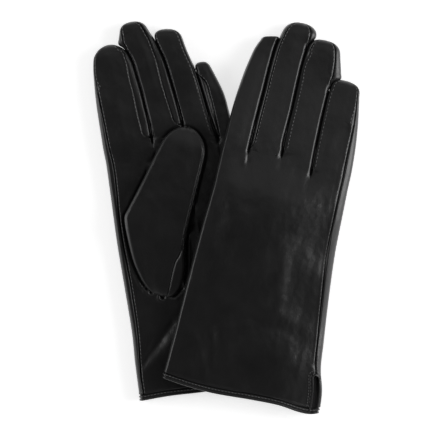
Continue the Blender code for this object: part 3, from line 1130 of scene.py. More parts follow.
    def thinned(self, k: int, early: int = 0) -> Array:
        """Finger k's leather at each row, pared where it turns in at the tip."""
        v = self.row_places(k, np.array([0.5]))[self.hand_rows - 1 - early :, 0]
        return self.leather * (0.12 + 0.88 * smoothstep((self.cut.fingers[k].tip - v) / 1.6))

    def seam_depth(self, k: int, far: bool, face: Face, v: Array) -> Array:
        """How far in from its side a finger's seam runs on a face.

        Args:
            k: the finger, from 0 at the index side.
            far: True for the side nearer the little finger.
            face: the face.
            v: millimetres up from the cuff.

        Returns:
            Millimetres.
        """
        finger = self.cut.fingers[k]
        if face is Face.LOWER:
            return self.strip_under * finger.closing(v)
        depth = through(finger.far_seam if far else finger.near_seam)(v)
        return depth * finger.closing(v) ** 0.5

    def seam_start(self, k: int, far: bool, v: Array) -> Array:
        """How far a finger's side strip has opened, from 0 at its crotch.

        Args:
            k: the finger, from 0 at the index side.
            far: True for the side nearer the little finger.
            v: millimetres up from the cuff.

        Returns:
            The share opened, 0 to 1.
        """
        top = self.cut.crotches[k if far else k - 1][1]
        share = np.clip((v - top) / self.strip_starts_over, 0.0, 1.0)
        return np.sqrt(1.0 - (1.0 - share) ** 2)

    def seam_dip(self, away: Array) -> Array:
        """How a hide turns down into a seam, with a slight swell beside it."""
        return -0.75 * np.exp(-((away / 0.36) ** 2)) + 0.13 * np.exp(-(((away - 1.25) / 0.6) ** 2))

    def hand_section(self, v: Array) -> Section:
        """The whole hand's cross-section near the cuff.

        Args:
            v: millimetres up from the cuff.

        Returns:
            The section.
        """
        near, far = self.outline(v)
        ones = np.ones(v.shape)
        return Section(
            near,
            far,
            self.hand_height(v),
            0.0 * ones,
            self.outer_roll(self.cut.near_edge, v),
            self.outer_roll(self.cut.far_edge, v),
            ones,
            ones,
            0.0,
        )

    def even_stations(self, section: Section, first: Array, last: Array, fraction: Array) -> Array:
        """Stations spread evenly by length round a section.

        Args:
            section: the section to go round.
            first: the station to start at.
            last: the station to end at.
            fraction: shares of the way, 0 to 1.

        Returns:
            The stations.
        """
        probe = np.linspace(0.0, 1.0, 1201)
        rows = []
        for i in range(first.shape[0]):
            a, b = float(first[i, 0]), float(last[i, 0])
            q = a + (b - a) * probe
            one = Section(
                *(
                    getattr(section, name)[i, 0] * np.ones(q.shape)
                    for name in (
                        "near",
                        "far",
                        "height",
                        "low",
                        "near_roll",
                        "far_roll",
                        "near_open",
                        "far_open",
                    )
                )
            )
            u, z = one.point(q)
            run = np.concatenate([[0.0], np.cumsum(np.hypot(np.diff(u), np.diff(z)))])
            rows.append(np.interp(fraction, run / run[-1], q))
        return np.array(rows)

    def thumb_section(self, along: Array) -> Section:
        """The thumb's cross-sections.

        Args:
            along: millimetres up the thumb.

        Returns:
            The section.
        """
        thumb = self.cut.thumb
        share = np.clip((along - thumb.tip + thumb.cap) / thumb.cap, 0.0, 1.0)
        closing = np.sqrt(1.0 - share**2.2)
        near, far = through(thumb.near)(along), through(thumb.far)(along)
        middle = (near + far) / 2
        half = (far - near) / 2 * closing
        full = through(thumb.height)(along)
        height = full * closing**0.8
        ones = np.ones(along.shape)
        roll = np.minimum(2.6 * ones, 0.485 * np.maximum(2 * half, 0.3))
        low = through(thumb.rise)(along) + (full - height) * self.tip_rise
        height = np.maximum(height, 0.2)
        return Section(middle - half, middle + half, height, low, roll, roll, ones, ones, 0.7)

    def ring_normals(self, points: Array) -> Array:
        """Outward normals of a grid whose columns close round.

        Args:
            points: the grid.

        Returns:
            One normal a point.
        """
        rows = np.gradient(points, axis=0)
        columns = np.roll(points, -1, axis=1) - np.roll(points, 1, axis=1)
        normal = np.cross(columns, rows)
        normal /= np.maximum(np.linalg.norm(normal, axis=2, keepdims=True), 1e-12)
        out = points - points.mean(axis=1, keepdims=True)
        return normal if (normal * out).sum() > 0 else -normal

    def ring_normals_open(self, points: Array) -> Array:
        """Outward normals of a grid that runs right round a tube.

        Args:
            points: the grid.

        Returns:
            One normal a point.
        """
        normal = Sheet.across(points)
        out = points - points.mean(axis=1, keepdims=True)
        return normal if (normal * out).sum() > 0 else -normal


@dataclass
class SubAssembly:
    """Some pieces of one glove: how they are dressed, and what they move with."""

    form: GloveForm
    finishes: Finishes

    @property
    def cut(self) -> GloveCut:
        """The glove's pattern."""
        return self.form.cut

    @property
    def hand(self) -> str:
        """The body that the hand's pieces ride on."""
        return f"{self.cut.name}_hand"

    def keep(
        self,
        obj: bpy.types.Object,
        material: bpy.types.Material,
        slot: Slot,
        nodes: tuple[str, ...] = (),
    ) -> bpy.types.Object:
        """Dresses a piece and hides the CAD pieces that it stands for.

        Args:
            obj: the piece.
            material: its finish.
            slot: the kind of finish it takes; not used.
            nodes: the CAD pieces that it stands for.

        Returns:
            The piece.
        """
        obj.data.materials.append(material)
        if nodes:
            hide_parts(*nodes)
        LOG.info("%s: %d points", obj.name, len(obj.data.vertices))
        return obj

    def ride_hand(self, obj: bpy.types.Object) -> None:
        """Makes a piece move with the hand."""
        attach(obj, self.hand)

    def bend_finger(self, obj: bpy.types.Object, k: int) -> None:
        """Bakes a piece's transform into its mesh; where finger k leaves the hand is worked out but not used.

        Args:
            obj: the piece.
            k: the finger, from 0 at the index side.
        """
        start = max(self.form.front(k, 0.0), self.form.front(k, 1.0)) + 0.2
        u = float(self.cut.fingers[k].middle(np.array(start)))
        z = self.form.finger_height / 2
        a, b = self.form.world(u, start, z), self.form.world(u, start + 18.0, z)
        self.hand
        f"{self.cut.name}_{self.cut.fingers[k].name}"
        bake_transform(obj)


@dataclass
class Faces(SubAssembly):
    """The two faces: a panel on the hand, and one on each finger."""

    columns: int = 30
    root_rows: int = 2
    root_press: float = 0.06
    stitch_column: int = 3
    groove: float = 1.5

    def make(self) -> None:
        """Builds the hides of both faces, and the stitches that show on the upper one."""
        for face, word in ((Face.UPPER, self.cut.upper), (Face.LOWER, self.cut.lower)):
            sheets = [self.hide(k, face)[0] for k in range(4)]
            whole = sheets[0].rows(None, self.form.hand_rows)
            for sheet in sheets[1:]:
                whole = whole.beside(sheet.rows(None, self.form.hand_rows))
            name = f"{self.cut.name}_{word}_panel"
            panel = self.keep(
                whole.solid(name + "_hide", self.form.leather), self.finishes.leather, Slot.LEATHER, (name,)
            )
            self.ride_hand(panel)
            if face is Face.UPPER:
                self.make_hand_stitches(sheets)
            for k, sheet in enumerate(sheets):
                finger = self.cut.fingers[k].name
                node = f"{self.cut.name}_{finger}_{word}"
                above = sheet.rows(self.form.hand_rows - 1, None)
                hide = self.rooted(sheet).solid(node + "_hide", self.form.thinned(k, self.root_rows))
                piece = self.keep(hide, self.finishes.leather, Slot.LEATHER, (node,))
                self.bend_finger(piece, k)
                if face is Face.UPPER:
                    self.make_finger_stitches(k, above)

    def hide(self, k: int, face: Face) -> tuple[Sheet, Array]:
        """The grid of a face along finger k, from the cuff to the tip.

        Args:
            k: which finger.
            face: which face of the glove.

        Returns:
            The sheet and v at each of its points.
        """
        edge = np.array(EDGE_STEPS)
        rest = np.full(self.columns + len(edge), AWAY)
        count = self.columns + 2 * len(edge)
        shares = np.linspace(0.0, 1.0, count)
        v = self.form.row_places(k, shares)
        section = self.form.section(k, v)
        first_seam = last_seam = np.ones(v.shape)
        if k == 0:
            full_first = first = self.hand_end(False, face, section, v, k)
        else:
            first_seam = self.form.seam_start(k, False, v)
            depth = self.form.seam_depth(k, False, face, v) + self.form.seam_gap
            full_first = section.near_station(depth)
            first = np.where(first_seam > 0, section.near_station(depth * first_seam), 1e-5)
        if k == 3:
            full_last = last = self.hand_end(True, face, section, v, k)
        else:
            last_seam = self.form.seam_start(k, True, v)
            depth = self.form.seam_depth(k, True, face, v) + self.form.seam_gap
            full_last = section.far_station(depth)
            last = np.where(last_seam > 0, section.far_station(depth * last_seam), 3.0 - 1e-5)
        parted = replace(section, near_open=np.ones(v.shape), far_open=np.ones(v.shape))
        room = np.abs(full_last - full_first) * 0.3
        reach = edge[-1]
        inner_first = full_first + np.minimum(reach * parted.per_mm(full_first, 0.02), room)
        inner_last = full_last - np.minimum(-reach * parted.per_mm(full_last, -0.02), room)
        near_unit, far_unit = (inner_first - first) / reach, (last - inner_last) / reach
        between = np.linspace(0, 1, self.columns + 2)[1:-1]
        steps = np.concatenate([edge, rest])
        back = np.concatenate([rest, edge[::-1]])
        mix = np.concatenate([np.zeros(len(edge)), between, np.ones(len(edge))])
        q = inner_first * (1 - mix) + inner_last * mix
        q = np.where(steps < AWAY, first + steps * near_unit, q)
        q = np.where(back < AWAY, last - back * far_unit, q)
        u, z = section.point(q if face is Face.UPPER else 6.0 - q)
        if face is Face.UPPER:
            held = section.near_open * (1 - smoothstep(q)) + section.far_open * (1 - smoothstep(3 - q))
            z = z + self.unrest(u, v) * (1 - np.minimum(held, 1.0)) * self.cut.fingers[k].closing(v)
        z = z + self.form.lie.height(u, v)
        finger = self.cut.fingers[k]
        sheet = Sheet.over(self.form.world(u, v + finger.lean(u, v), z), face.value)
        dip = self.form.seam_dip(steps) * first_seam + self.form.seam_dip(back) * last_seam
        dip = dip * smoothstep((finger.tip - v) / 2.5)
        above = v - self.form.band
        dip = dip - 0.6 * np.exp(-((above / 0.5) ** 2)) + 0.25 * np.exp(-(((above - 1.2) / 0.6) ** 2))
        return sheet.pushed(dip), v

    def hand_end(self, far: bool, face: Face, section: Section, v: Array, k: int) -> Array:
        """The station where a face ends at the outer side of the hand.

        Args:
            far: True for the side nearer the little finger.
            face: the face.
            section: the sections.
            v: millimetres up from the cuff.
            k: the finger, from 0 at the index side.

        Returns:
            The stations.
        """
        edge = self.cut.far_edge if far else self.cut.near_edge
        closing = self.cut.fingers[k].closing(v)
        if edge is Edge.SEAM_ON_TOP:
            seam_face = Face.UPPER
            depth = through(self.cut.outer_seam)(v) * closing
        else:
            seam_face = Face.LOWER
            depth = self.form.under_wrap * closing
        gap = self.form.seam_gap + (self.vent_gap(v) if far else 0.0)
        own = face is seam_face
        depth = depth + gap if own else depth - gap
        depth = np.maximum(depth, 0.02)
        turned = section.near_station(depth) if not far else 3.0 - section.far_station(depth)
        turned = turned if own else -turned
        return 3.0 - turned if far else turned

    def vent_gap(self, v: Array) -> Array:
        """Half the slit of the far seam, open at the cuff.

        Args:
            v: millimetres up from the cuff.

        Returns:
            Millimetres.
        """
        end = self.form.vent_length - self.form.vent_half
        rounded = np.sqrt(np.clip(1.0 - ((v - end) / self.form.vent_half) ** 2, 0.0, 1.0))
        return self.form.vent_half * np.where(v < end, 1.0, np.where(v < self.form.vent_length, rounded, 0.0))

    def unrest(self, u: Array, v: Array) -> Array:
        """The soft unevenness of a worn-in hide, with its creases.

        Args:
            u: millimetres across the glove.
            v: millimetres up from the cuff.

        Returns:
            Millimetres of lift.
        """
        clouds = np.array([self.cloud(a, b) for a, b in zip(u.ravel(), v.ravel())])
        wave = clouds.reshape(u.shape) * self.cut.unrest * 2.0
        for crease in self.cut.creases:
            wave += crease.lift(u, v)
        if self.cut.upper == "palm":
            wave += self.root_groove(u, v)
        return wave

    def cloud(self, u: float, v: float) -> float:
        """The unevenness of the hide at one place, from about -1 to 1.

        Args:
            u: millimetres across the glove.
            v: millimetres up from the cuff.

        Returns:
            The sum of a few sizes of cloud.
        """
        seed = 0.0 if self.cut.name == "left" else 40.0
        return sum(
            share * noise.noise(Vector((u * across + seed, v * along, layer)))
            for share, across, along, layer in CLOUDS
        )

    def root_groove(self, u: Array, v: Array) -> Array:
        """How the hide dips along the seam of the thumb's root, and swells outside it.

        Args:
            u: millimetres across the glove.
            v: millimetres up from the cuff.

        Returns:
            Millimetres of lift.
        """
        thumb = self.cut.thumb
        along = thumb.start + (thumb.tip - thumb.start) * np.sin(np.linspace(0.0, 0.995, 110) * QUARTER)
        section = self.form.thumb_section(along)
        sides = [np.stack(thumb.place(edge, along), axis=-1) for edge in (section.near, section.far)]
        away = np.full(u.shape, 99.0)
        free = np.zeros(u.shape)
        for point, place in zip(np.concatenate(sides), np.tile(along, 2)):
            gap = np.hypot(u - point[0], v - point[1])
            free = np.where(gap < away, place, free)
            away = np.minimum(away, gap)
        deep = self.groove - 0.5 * smoothstep((free - thumb.fold) / 12.0)
        swell = 0.5 - 0.5 * smoothstep((free - thumb.fold) / 12.0)
        return -deep * np.exp(-((away / 1.1) ** 2)) + swell * np.exp(-(((away - 2.6) / 1.1) ** 2))

    def rooted(self, sheet: Sheet) -> Sheet:
        """A finger's rows, begun a little under the edge of the hand's hide.

        Args:
            sheet: the finger's face.

        Returns:
            The longer sheet.
        """
        under = np.zeros(sheet.points.shape[:2])
        under[: self.form.hand_rows - 1] = -self.root_press
        pressed = Sheet(sheet.pushed(under).points, sheet.normals)
        return pressed.rows(self.form.hand_rows - 1 - self.root_rows, None)

    def make_hand_stitches(self, sheets: list[Sheet]) -> None:
        """Stitches along the outer seams of the hand that show on its upper face.

        Args:
            sheets: the upper face's strips, from index to little finger.
        """
        lines = []
        for far, sheet in ((False, sheets[0]), (True, sheets[-1])):
            edge = self.cut.far_edge if far else self.cut.near_edge
            if edge is Edge.SEAM_ON_TOP:
                j = -1 - self.stitch_column if far else self.stitch_column
                rows = slice(2, self.form.hand_rows)
                lines.append((sheet.points[rows, j], sheet.normals[rows, j]))
        obj = Stitching().row(f"{self.cut.name}_side_stitches", lines)
        self.ride_hand(self.keep(obj, self.finishes.thread, Slot.LEATHER))

    def make_finger_stitches(self, k: int, sheet: Sheet) -> None:
        """Stitches along the seams of a finger's upper face.

        Args:
            k: the finger, from 0 at the index side.
            sheet: the finger's upper face.
        """
        lines = []
        last = len(sheet.points) - 7
        for j in (self.stitch_column, -1 - self.stitch_column):
            lines.append((sheet.points[4:last, j], sheet.normals[4:last, j]))
        name = f"{self.cut.name}_{self.cut.fingers[k].name}_stitches"
        obj = Stitching().row(name, lines)
        self.bend_finger(self.keep(obj, self.finishes.thread, Slot.LEATHER), k)


@dataclass
class SideStrips(SubAssembly):
    """The strip down each inner side of a finger, between its seams on both faces."""

    columns: int = 9

    def make(self) -> None:
        """Builds every strip; the outer sides of the hand have none."""
        for k, finger in enumerate(self.cut.fingers):
            for far, word in ((False, "near_side"), (True, "far_side")):
                if (k == 0 and not far) or (k == 3 and far):
                    continue
                self.make_strip(k, far, f"{self.cut.name}_{finger.name}_{word}")

    def make_strip(self, k: int, far: bool, node: str) -> None:
        """One side strip, between its seams on the upper and the lower face.

        Args:
            k: the finger, from 0 at the index side.
            far: True for the side nearer the little finger.
            node: the strip's CAD piece.
        """
        edge = np.array(EDGE_STEPS[:4])
        count = self.columns + 2 * len(edge)
        v = self.form.row_places(k, np.full(count, 1.0 if far else 0.0))[self.form.hand_rows - 1 :]
        section = self.form.section(k, v)
        opened = np.maximum(self.form.seam_start(k, far, v), 0.06)
        upper = self.form.seam_depth(k, far, Face.UPPER, v) - self.form.seam_gap
        lower = self.form.seam_depth(k, far, Face.LOWER, v) - self.form.seam_gap
        roll = section.far_roll if far else section.near_roll
        top = section.station(upper * opened, roll)
        under = -section.station(np.maximum(lower, 0.02) * opened, roll)
        room = np.maximum(top - under, 0.004)
        unit = np.minimum(1.0 / (roll * QUARTER), 0.3 * room / edge[-1])
        mix = np.linspace(0, 1, self.columns + 2)[1:-1]
        first, last = under + edge[-1] * unit, top - edge[-1] * unit
        mixes = np.concatenate([np.zeros(len(edge)), mix, np.ones(len(edge))])
        q = first * (1 - mixes) + last * mixes
        head, tail = slice(0, len(edge)), slice(-len(edge), None)
        q[:, head] = under[:, head] + edge * unit[:, head]
        q[:, tail] = top[:, tail] - edge[::-1] * unit[:, tail]
        stations = 3.0 - q if far else q
        u, z = section.point(stations)
        z = z + self.form.lie.height(u, v)
        finger = self.cut.fingers[k]
        sheet = Sheet.over(self.form.world(u, v + finger.lean(u, v), z), -1.0 if far else 1.0)
        away = np.full(count, AWAY)
        away[: len(edge)] = edge
        away[-len(edge) :] = edge[::-1]
        dip = self.form.seam_dip(away)[None] * opened * smoothstep((finger.tip - v) / 2.5)
        sheet = sheet.pushed(dip)
        strip = sheet.solid(node + "_strip", self.form.thinned(k))
        self.bend_finger(self.keep(strip, self.finishes.leather, Slot.LEATHER, (node,)), k)


@dataclass
class Cuff(SubAssembly):
    """The folded and stitched band round the cuff's edge, open at the vent.

    profile goes once round the band as (v, distance out from the hide).
    """

    profile: Pairs = (
        (3.35, -0.95), (3.15, -0.35), (2.8, 0.12), (2.35, 0.30), (1.95, 0.18), (1.62, -0.22),
        (1.38, -0.42), (1.12, -0.18), (0.8, 0.20), (0.4, 0.34), (0.0, 0.20), (-0.32, -0.25),
        (-0.38, -0.8), (-0.2, -1.35), (0.3, -1.7), (1.6, -1.8), (3.3, -1.8), (3.4, -1.4),
    )
    columns: int = 360
    stitch_row: int = 3
    stitches: Stitching = Stitching(step=2.2, length=1.3, radius=0.15)

    def make(self) -> None:
        """Builds the band and its row of stitches."""
        profile = np.array(self.profile)
        v = profile[:, 0][:, None] * np.ones(self.columns)
        section = self.form.hand_section(np.maximum(v, 0.0))
        seam = through(self.cut.outer_seam)(np.maximum(v, 0.0))
        if self.cut.far_edge is Edge.WRAPS_ROUND:
            seam = np.full(v.shape, self.form.under_wrap)
            first = 3.0 + (3.0 - section.far_station(seam - self.form.vent_half))
            last = 3.0 + (3.0 - section.far_station(seam + self.form.vent_half)) - 6.0
        else:
            first = section.far_station(seam - self.form.vent_half)
            last = section.far_station(seam + self.form.vent_half) - 6.0
        fraction = np.linspace(0.0, 1.0, v.shape[1])
        q = self.form.even_stations(section, last, first, fraction)
        u, z = section.point(q)
        du, dz = section.point(q + 0.002)
        eu, ez = section.point(q - 0.002)
        tangent = np.stack([du - eu, dz - ez], axis=-1)
        tangent /= np.maximum(np.linalg.norm(tangent, axis=-1, keepdims=True), 1e-9)
        out = profile[:, 1][:, None]
        u = u - tangent[..., 1] * out
        z = z + tangent[..., 0] * out
        points = self.form.world(u, v, z + self.form.lie.height(u, np.maximum(v, 0.0)))
        obj = closed_band(f"{self.cut.name}_cuff_band", points)
        node = f"{self.cut.name}_cuff_binding"
        self.ride_hand(self.keep(obj, self.finishes.bound, Slot.BOUND_EDGE, (node,)))
        row = self.stitch_row
        normals = np.zeros_like(points[row])
        t = math.radians(self.cut.tilt)
        normals[:, 0] = -tangent[row, :, 1] * math.cos(t)
        normals[:, 1] = tangent[row, :, 1] * math.sin(t)
        normals[:, 2] = tangent[row, :, 0]
        path = points[row] + normals * 0.04 * MM
        stitches = self.stitches.row(f"{self.cut.name}_cuff_stitches", [(path, normals)])
        self.ride_hand(self.keep(stitches, self.finishes.thread, Slot.BOUND_EDGE))


@dataclass
class Vent(SubAssembly):
    """The rolled edge round the vent, and its row of stitches."""

    radius: float = 0.62
    inset: float = 0.35
    stitches_out: float = 2.2
    stitches_near_edge: float = 0.7
    stitches: Stitching = Stitching(step=2.0, length=1.2, radius=0.16)

    def make(self) -> None:
        """Builds the roll, then the stitches a little outside it."""
        reach = self.form.vent_half - self.inset
        bend = self.form.vent_length - self.form.vent_half
        up = np.linspace(0.6, bend, 30)
        turn = np.linspace(0.0, math.pi, 22)[1:-1]
        offset = np.concatenate([np.full(30, -reach), -reach * np.cos(turn), np.full(30, reach)])
        v = np.concatenate([up, bend + reach * np.sin(turn), up[::-1]])
        path, _ = self.vent_line(offset, v, 0.0)
        obj = sweep(f"{self.cut.name}_vent_roll", path, np.full(len(path), self.radius * MM), 12)
        node = f"{self.cut.name}_vent_binding"
        self.ride_hand(self.keep(obj, self.finishes.bound, Slot.BOUND_EDGE, (node,)))
        wide = self.form.vent_half + self.stitches_out
        outer = self.form.vent_half + self.stitches_near_edge
        turned = np.linspace(0.0, math.pi, 30)[1:-1]
        offset = np.concatenate([np.full(20, -wide), -wide * np.cos(turned), np.full(20, wide)])
        offset = np.where(offset > 0, offset * outer / wide, offset)
        rows = np.linspace(4.2, bend, 20)
        v = np.concatenate([rows, bend + wide * np.sin(turned), rows[::-1]])
        path, normals = self.vent_line(offset, v, 0.12)
        stitches = self.stitches.row(f"{self.cut.name}_vent_stitches", [(path, normals)])
        self.ride_hand(self.keep(stitches, self.finishes.thread, Slot.BOUND_EDGE))

    def vent_line(self, offset: Array, v: Array, lift: float) -> tuple[Array, Array]:
        """Places beside the vent's middle line, on the hide.

        Args:
            offset: millimetres nearer the far side.
            v: distance from the cuff.
            lift: millimetres off the hide.

        Returns:
            The points and the hide's normals there.
        """
        section = self.form.hand_section(v)
        on_top = self.cut.far_edge is Edge.SEAM_ON_TOP
        seam = through(self.cut.outer_seam)(v) if on_top else np.full(v.shape, self.form.under_wrap)
        depth = np.maximum(seam - offset, 0.05)
        q = section.far_station(depth)
        q = q if on_top else 6.0 - q
        (u, z), (u1, z1) = section.point(q), section.point(q + 0.01)
        t = math.radians(self.cut.tilt)
        run = np.hypot(u1 - u, z1 - z)
        nu, nz = -(z1 - z) / run, (u1 - u) / run
        u, z = u + nu * lift, z + nz * lift
        points = self.form.world(u, v, z + self.form.lie.height(u, v))
        normals = np.stack([nu * math.cos(t), -nu * math.sin(t), nz], axis=-1)
        return points, normals


@dataclass
class Gussets(SubAssembly):
    """The small folded diamond of leather at the foot of each crotch.

    follows names a finger for each one, passed to bend_finger. lowest and rise are shares of a finger's
    height.
    """

    length: float = 22.0
    foot: float = 2.2
    half: float = 0.42
    lowest: float = 0.66
    rise: float = 0.26
    fall: float = 4.6
    follows: tuple[int, ...] = (0, 2, 2)

    def make(self) -> None:
        """Builds one fold at each crotch."""
        pairs = zip(self.cut.fingers, self.cut.fingers[1:])
        for k, (first, second) in enumerate(pairs):
            top = self.cut.crotches[k][1]
            v = np.linspace(top + 0.4, top + self.length, 36)
            far, _ = self.form.side_of(k, True, v)
            near, _ = self.form.side_of(k + 1, False, v)
            middle = (far + near) / 2
            share = (v - v[0]) / (v[-1] - v[0])
            risen = np.sin(np.clip(share * 5.0, 0, 1) * QUARTER)
            crest = self.form.finger_height * (self.lowest + self.rise * risen)
            crest = crest - self.fall * smoothstep((share - 0.6) / 0.4)
            foot = np.full(v.shape, self.foot)
            half = np.full(v.shape, self.half)
            turn = np.linspace(0, 2 * math.pi, 12, endpoint=False)
            u = middle[:, None] + half[:, None] * np.cos(turn)
            z = (crest + foot)[:, None] / 2 + (crest - foot)[:, None] / 2 * np.sin(turn)
            vv = v[:, None] * np.ones(len(turn))
            points = self.form.world(u, vv, z + self.form.lie.height(u, vv))
            node = f"{self.cut.name}_{first.name}_{second.name}_gusset"
            obj = closed_band(node + "_fold", points.transpose(1, 0, 2))
            self.bend_finger(self.keep(obj, self.finishes.leather, Slot.LEATHER, (node,)), self.follows[k])


@dataclass
class Linings(SubAssembly):
    """The knitted bag inside the hand, and a stall inside each finger."""

    bag_columns: int = 120
    stall_columns: int = 40
    below_crotch: float = 16.0
    side_turn: float = 3.4
    tip_room: float = 3.0

    def make(self) -> None:
        """Builds the bag, then the stalls of the fingers."""
        columns = np.linspace(0.0, 6.0, self.bag_columns, endpoint=False)
        lowest = min(c[1] for c in self.cut.crotches) - self.below_crotch
        v = np.linspace(1.2, lowest, 60)[:, None] * np.ones(len(columns))
        near, far = self.form.outline(v)
        ones = np.ones(v.shape)
        inset = self.form.knit_inset + 1.7 * smoothstep((v - 6.0) / 20.0)
        section = Section(
            near + inset,
            far - inset,
            self.form.hand_height(v) - 2 * inset,
            inset,
            ones * self.side_turn,
            ones * self.side_turn,
            ones,
            ones,
            0.0,
        )
        u, z = section.point(columns[None] * ones)
        points = self.form.world(u, v, z + self.form.lie.height(u, v))
        sheet = Sheet(points, self.form.ring_normals(points))
        name = f"{self.cut.name}_hand_lining"
        obj = sheet.solid(name + "_bag", self.form.knit, closed=True)
        self.ride_hand(self.keep(obj, self.finishes.knit, Slot.LINING, (name,)))
        for k, finger in enumerate(self.cut.fingers):
            self.make_finger_lining(k, f"{self.cut.name}_{finger.name}_lining")

    def make_finger_lining(self, k: int, node: str) -> None:
        """The knitted stall inside one finger.

        Args:
            k: the finger, from 0 at the index side.
            node: the stall's CAD piece.
        """
        finger = self.cut.fingers[k]
        columns = np.linspace(0.0, 6.0, self.stall_columns, endpoint=False)
        start = self.form.front(k, 0.5) - 12.0
        rows = np.linspace(start, finger.tip - self.tip_room, 60)
        v = rows[:, None] * np.ones(len(columns))
        section = self.form.section(k, v, self.form.knit_inset + 0.6)
        section.near_open = np.ones(v.shape)
        section.far_open = np.ones(v.shape)
        u, z = section.point(columns[None] * np.ones(v.shape))
        points = self.form.world(u, v, z + self.form.lie.height(u, v))
        sheet = Sheet(points, self.form.ring_normals(points))
        obj = sheet.solid(node + "_stall", self.form.knit, closed=True)
        self.bend_finger(self.keep(obj, self.finishes.knit, Slot.LINING, (node,)), k)


@dataclass
class Thumb(SubAssembly):
    """The thumb: its root on the hand, its leather from seam to seam, and its lining."""

    columns: int = 132
    blunt: float = 2.2
    unevenness: float = 0.45
    stall_columns: int = 44
    tip_room: float = 4.0

    def make(self) -> None:
        """Builds the leather from its seam right round, then the lining."""
        thumb = self.cut.thumb
        shoulder = thumb.tip - thumb.cap
        root = np.linspace(thumb.start, thumb.fold, 56)
        body = np.linspace(thumb.fold, shoulder, 74)[1:]
        cap = shoulder + thumb.cap * np.sin(np.linspace(0, 0.985, 19)[1:] * QUARTER) ** (2 / self.blunt)
        rows = np.concatenate([root, body, cap])
        columns = np.linspace(0.0, 1.0, self.columns)
        along = rows[:, None] * np.ones(len(columns))
        section = self.form.thumb_section(along)
        seam = section.far_station(np.maximum(through(thumb.seam)(along), 0.1))
        even = self.form.even_stations(section, seam - 6.0, seam, columns)
        u_own, z = section.point(even)
        u, v = thumb.place(u_own, along)
        clouds = np.array([self.cloud(a, b) for a, b in zip(u.ravel(), v.ravel())]).reshape(u.shape)
        station = np.mod(even, 6.0)
        shown = (even > -2.6) * smoothstep(station) * smoothstep(3 - station)
        z = z + clouds * self.unevenness * shown
        points = self.form.world(u, v, z + self.form.thumb_lie.height(u, v))
        sheet = Sheet(points, self.form.ring_normals_open(points))
        gap = np.minimum(columns, 1 - columns)[None] * 60.0 * np.ones(along.shape)
        dip = self.form.seam_dip(gap) * np.minimum(section.height / 8.0, 1.0)
        sheet = sheet.pushed(dip)
        fold = len(root)
        base_node = f"{self.cut.name}_thumb_base"
        tube_node = f"{self.cut.name}_thumb_leather"
        base = sheet.rows(None, fold).solid(base_node + "_leaf", self.form.leather)
        self.ride_hand(self.keep(base, self.finishes.leather, Slot.LEATHER, (base_node,)))
        tube = sheet.rows(fold - 1, None).solid(tube_node + "_tube", self.form.leather)
        self.bend(self.keep(tube, self.finishes.leather, Slot.LEATHER, (tube_node,)))
        self.make_lining()

    def cloud(self, u: float, v: float) -> float:
        """The unevenness of the thumb's hide at one place, from about -1 to 1."""
        wide = noise.noise(Vector((u * 0.075, v * 0.05, 3.0)))
        return wide + 0.4 * noise.noise(Vector((u * 0.2, v * 0.15, 7.0)))

    def make_lining(self) -> None:
        """The knitted stall inside the thumb."""
        thumb = self.cut.thumb
        columns = np.linspace(0.0, 6.0, self.stall_columns, endpoint=False)
        rows = np.linspace(thumb.fold + 1.0, thumb.tip - self.tip_room, 40)
        along = rows[:, None] * np.ones(len(columns))
        section = self.form.thumb_section(along)
        inset = self.form.knit_inset
        section.near = section.near + inset
        section.far = section.far - inset
        section.height = np.maximum(section.height - 2 * inset, 0.2)
        section.low = section.low + inset
        section.near_roll = np.minimum(section.near_roll, 3.5)
        section.far_roll = np.minimum(section.far_roll, 3.5)
        section.crown = 0.0
        u_own, z = section.point(columns[None] * np.ones(along.shape))
        u, v = thumb.place(u_own, along)
        points = self.form.world(u, v, z + self.form.thumb_lie.height(u, v))
        sheet = Sheet(points, self.form.ring_normals(points))
        node = f"{self.cut.name}_thumb_lining"
        obj = sheet.solid(node + "_stall", self.form.knit, closed=True)
        self.bend(self.keep(obj, self.finishes.knit, Slot.LINING, (node,)))

    def bend(self, obj: bpy.types.Object) -> None:
        """Bakes a piece's transform into its mesh; points where the thumb leaves the hand are worked out but
        not used.

        Args:
            obj: the piece.
        """
        thumb = self.cut.thumb
        for along in (thumb.fold + 0.1, thumb.fold + 14.0):
            u, v = thumb.place(0.0, along)
            self.form.world(u, v, 10.0)
        self.hand
        f"{self.cut.name}_thumb"
        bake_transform(obj)


@dataclass
class Glove:
    """One glove: its sub-assemblies, built in the order that they are sewn."""

    form: GloveForm
    finishes: Finishes

    def make(self) -> None:
        """Builds every piece of the glove."""
        for assembly in (Faces, SideStrips, Cuff, Vent, Gussets, Linings, Thumb):
            assembly(self.form, self.finishes).make()


# ---------------------------------------------------------------------------- the two patterns


def shifted(line: Pairs, across: float) -> Pairs:
    """A line of (v, u) places, moved across the glove."""
    return tuple((v, u + across) for v, u in line)


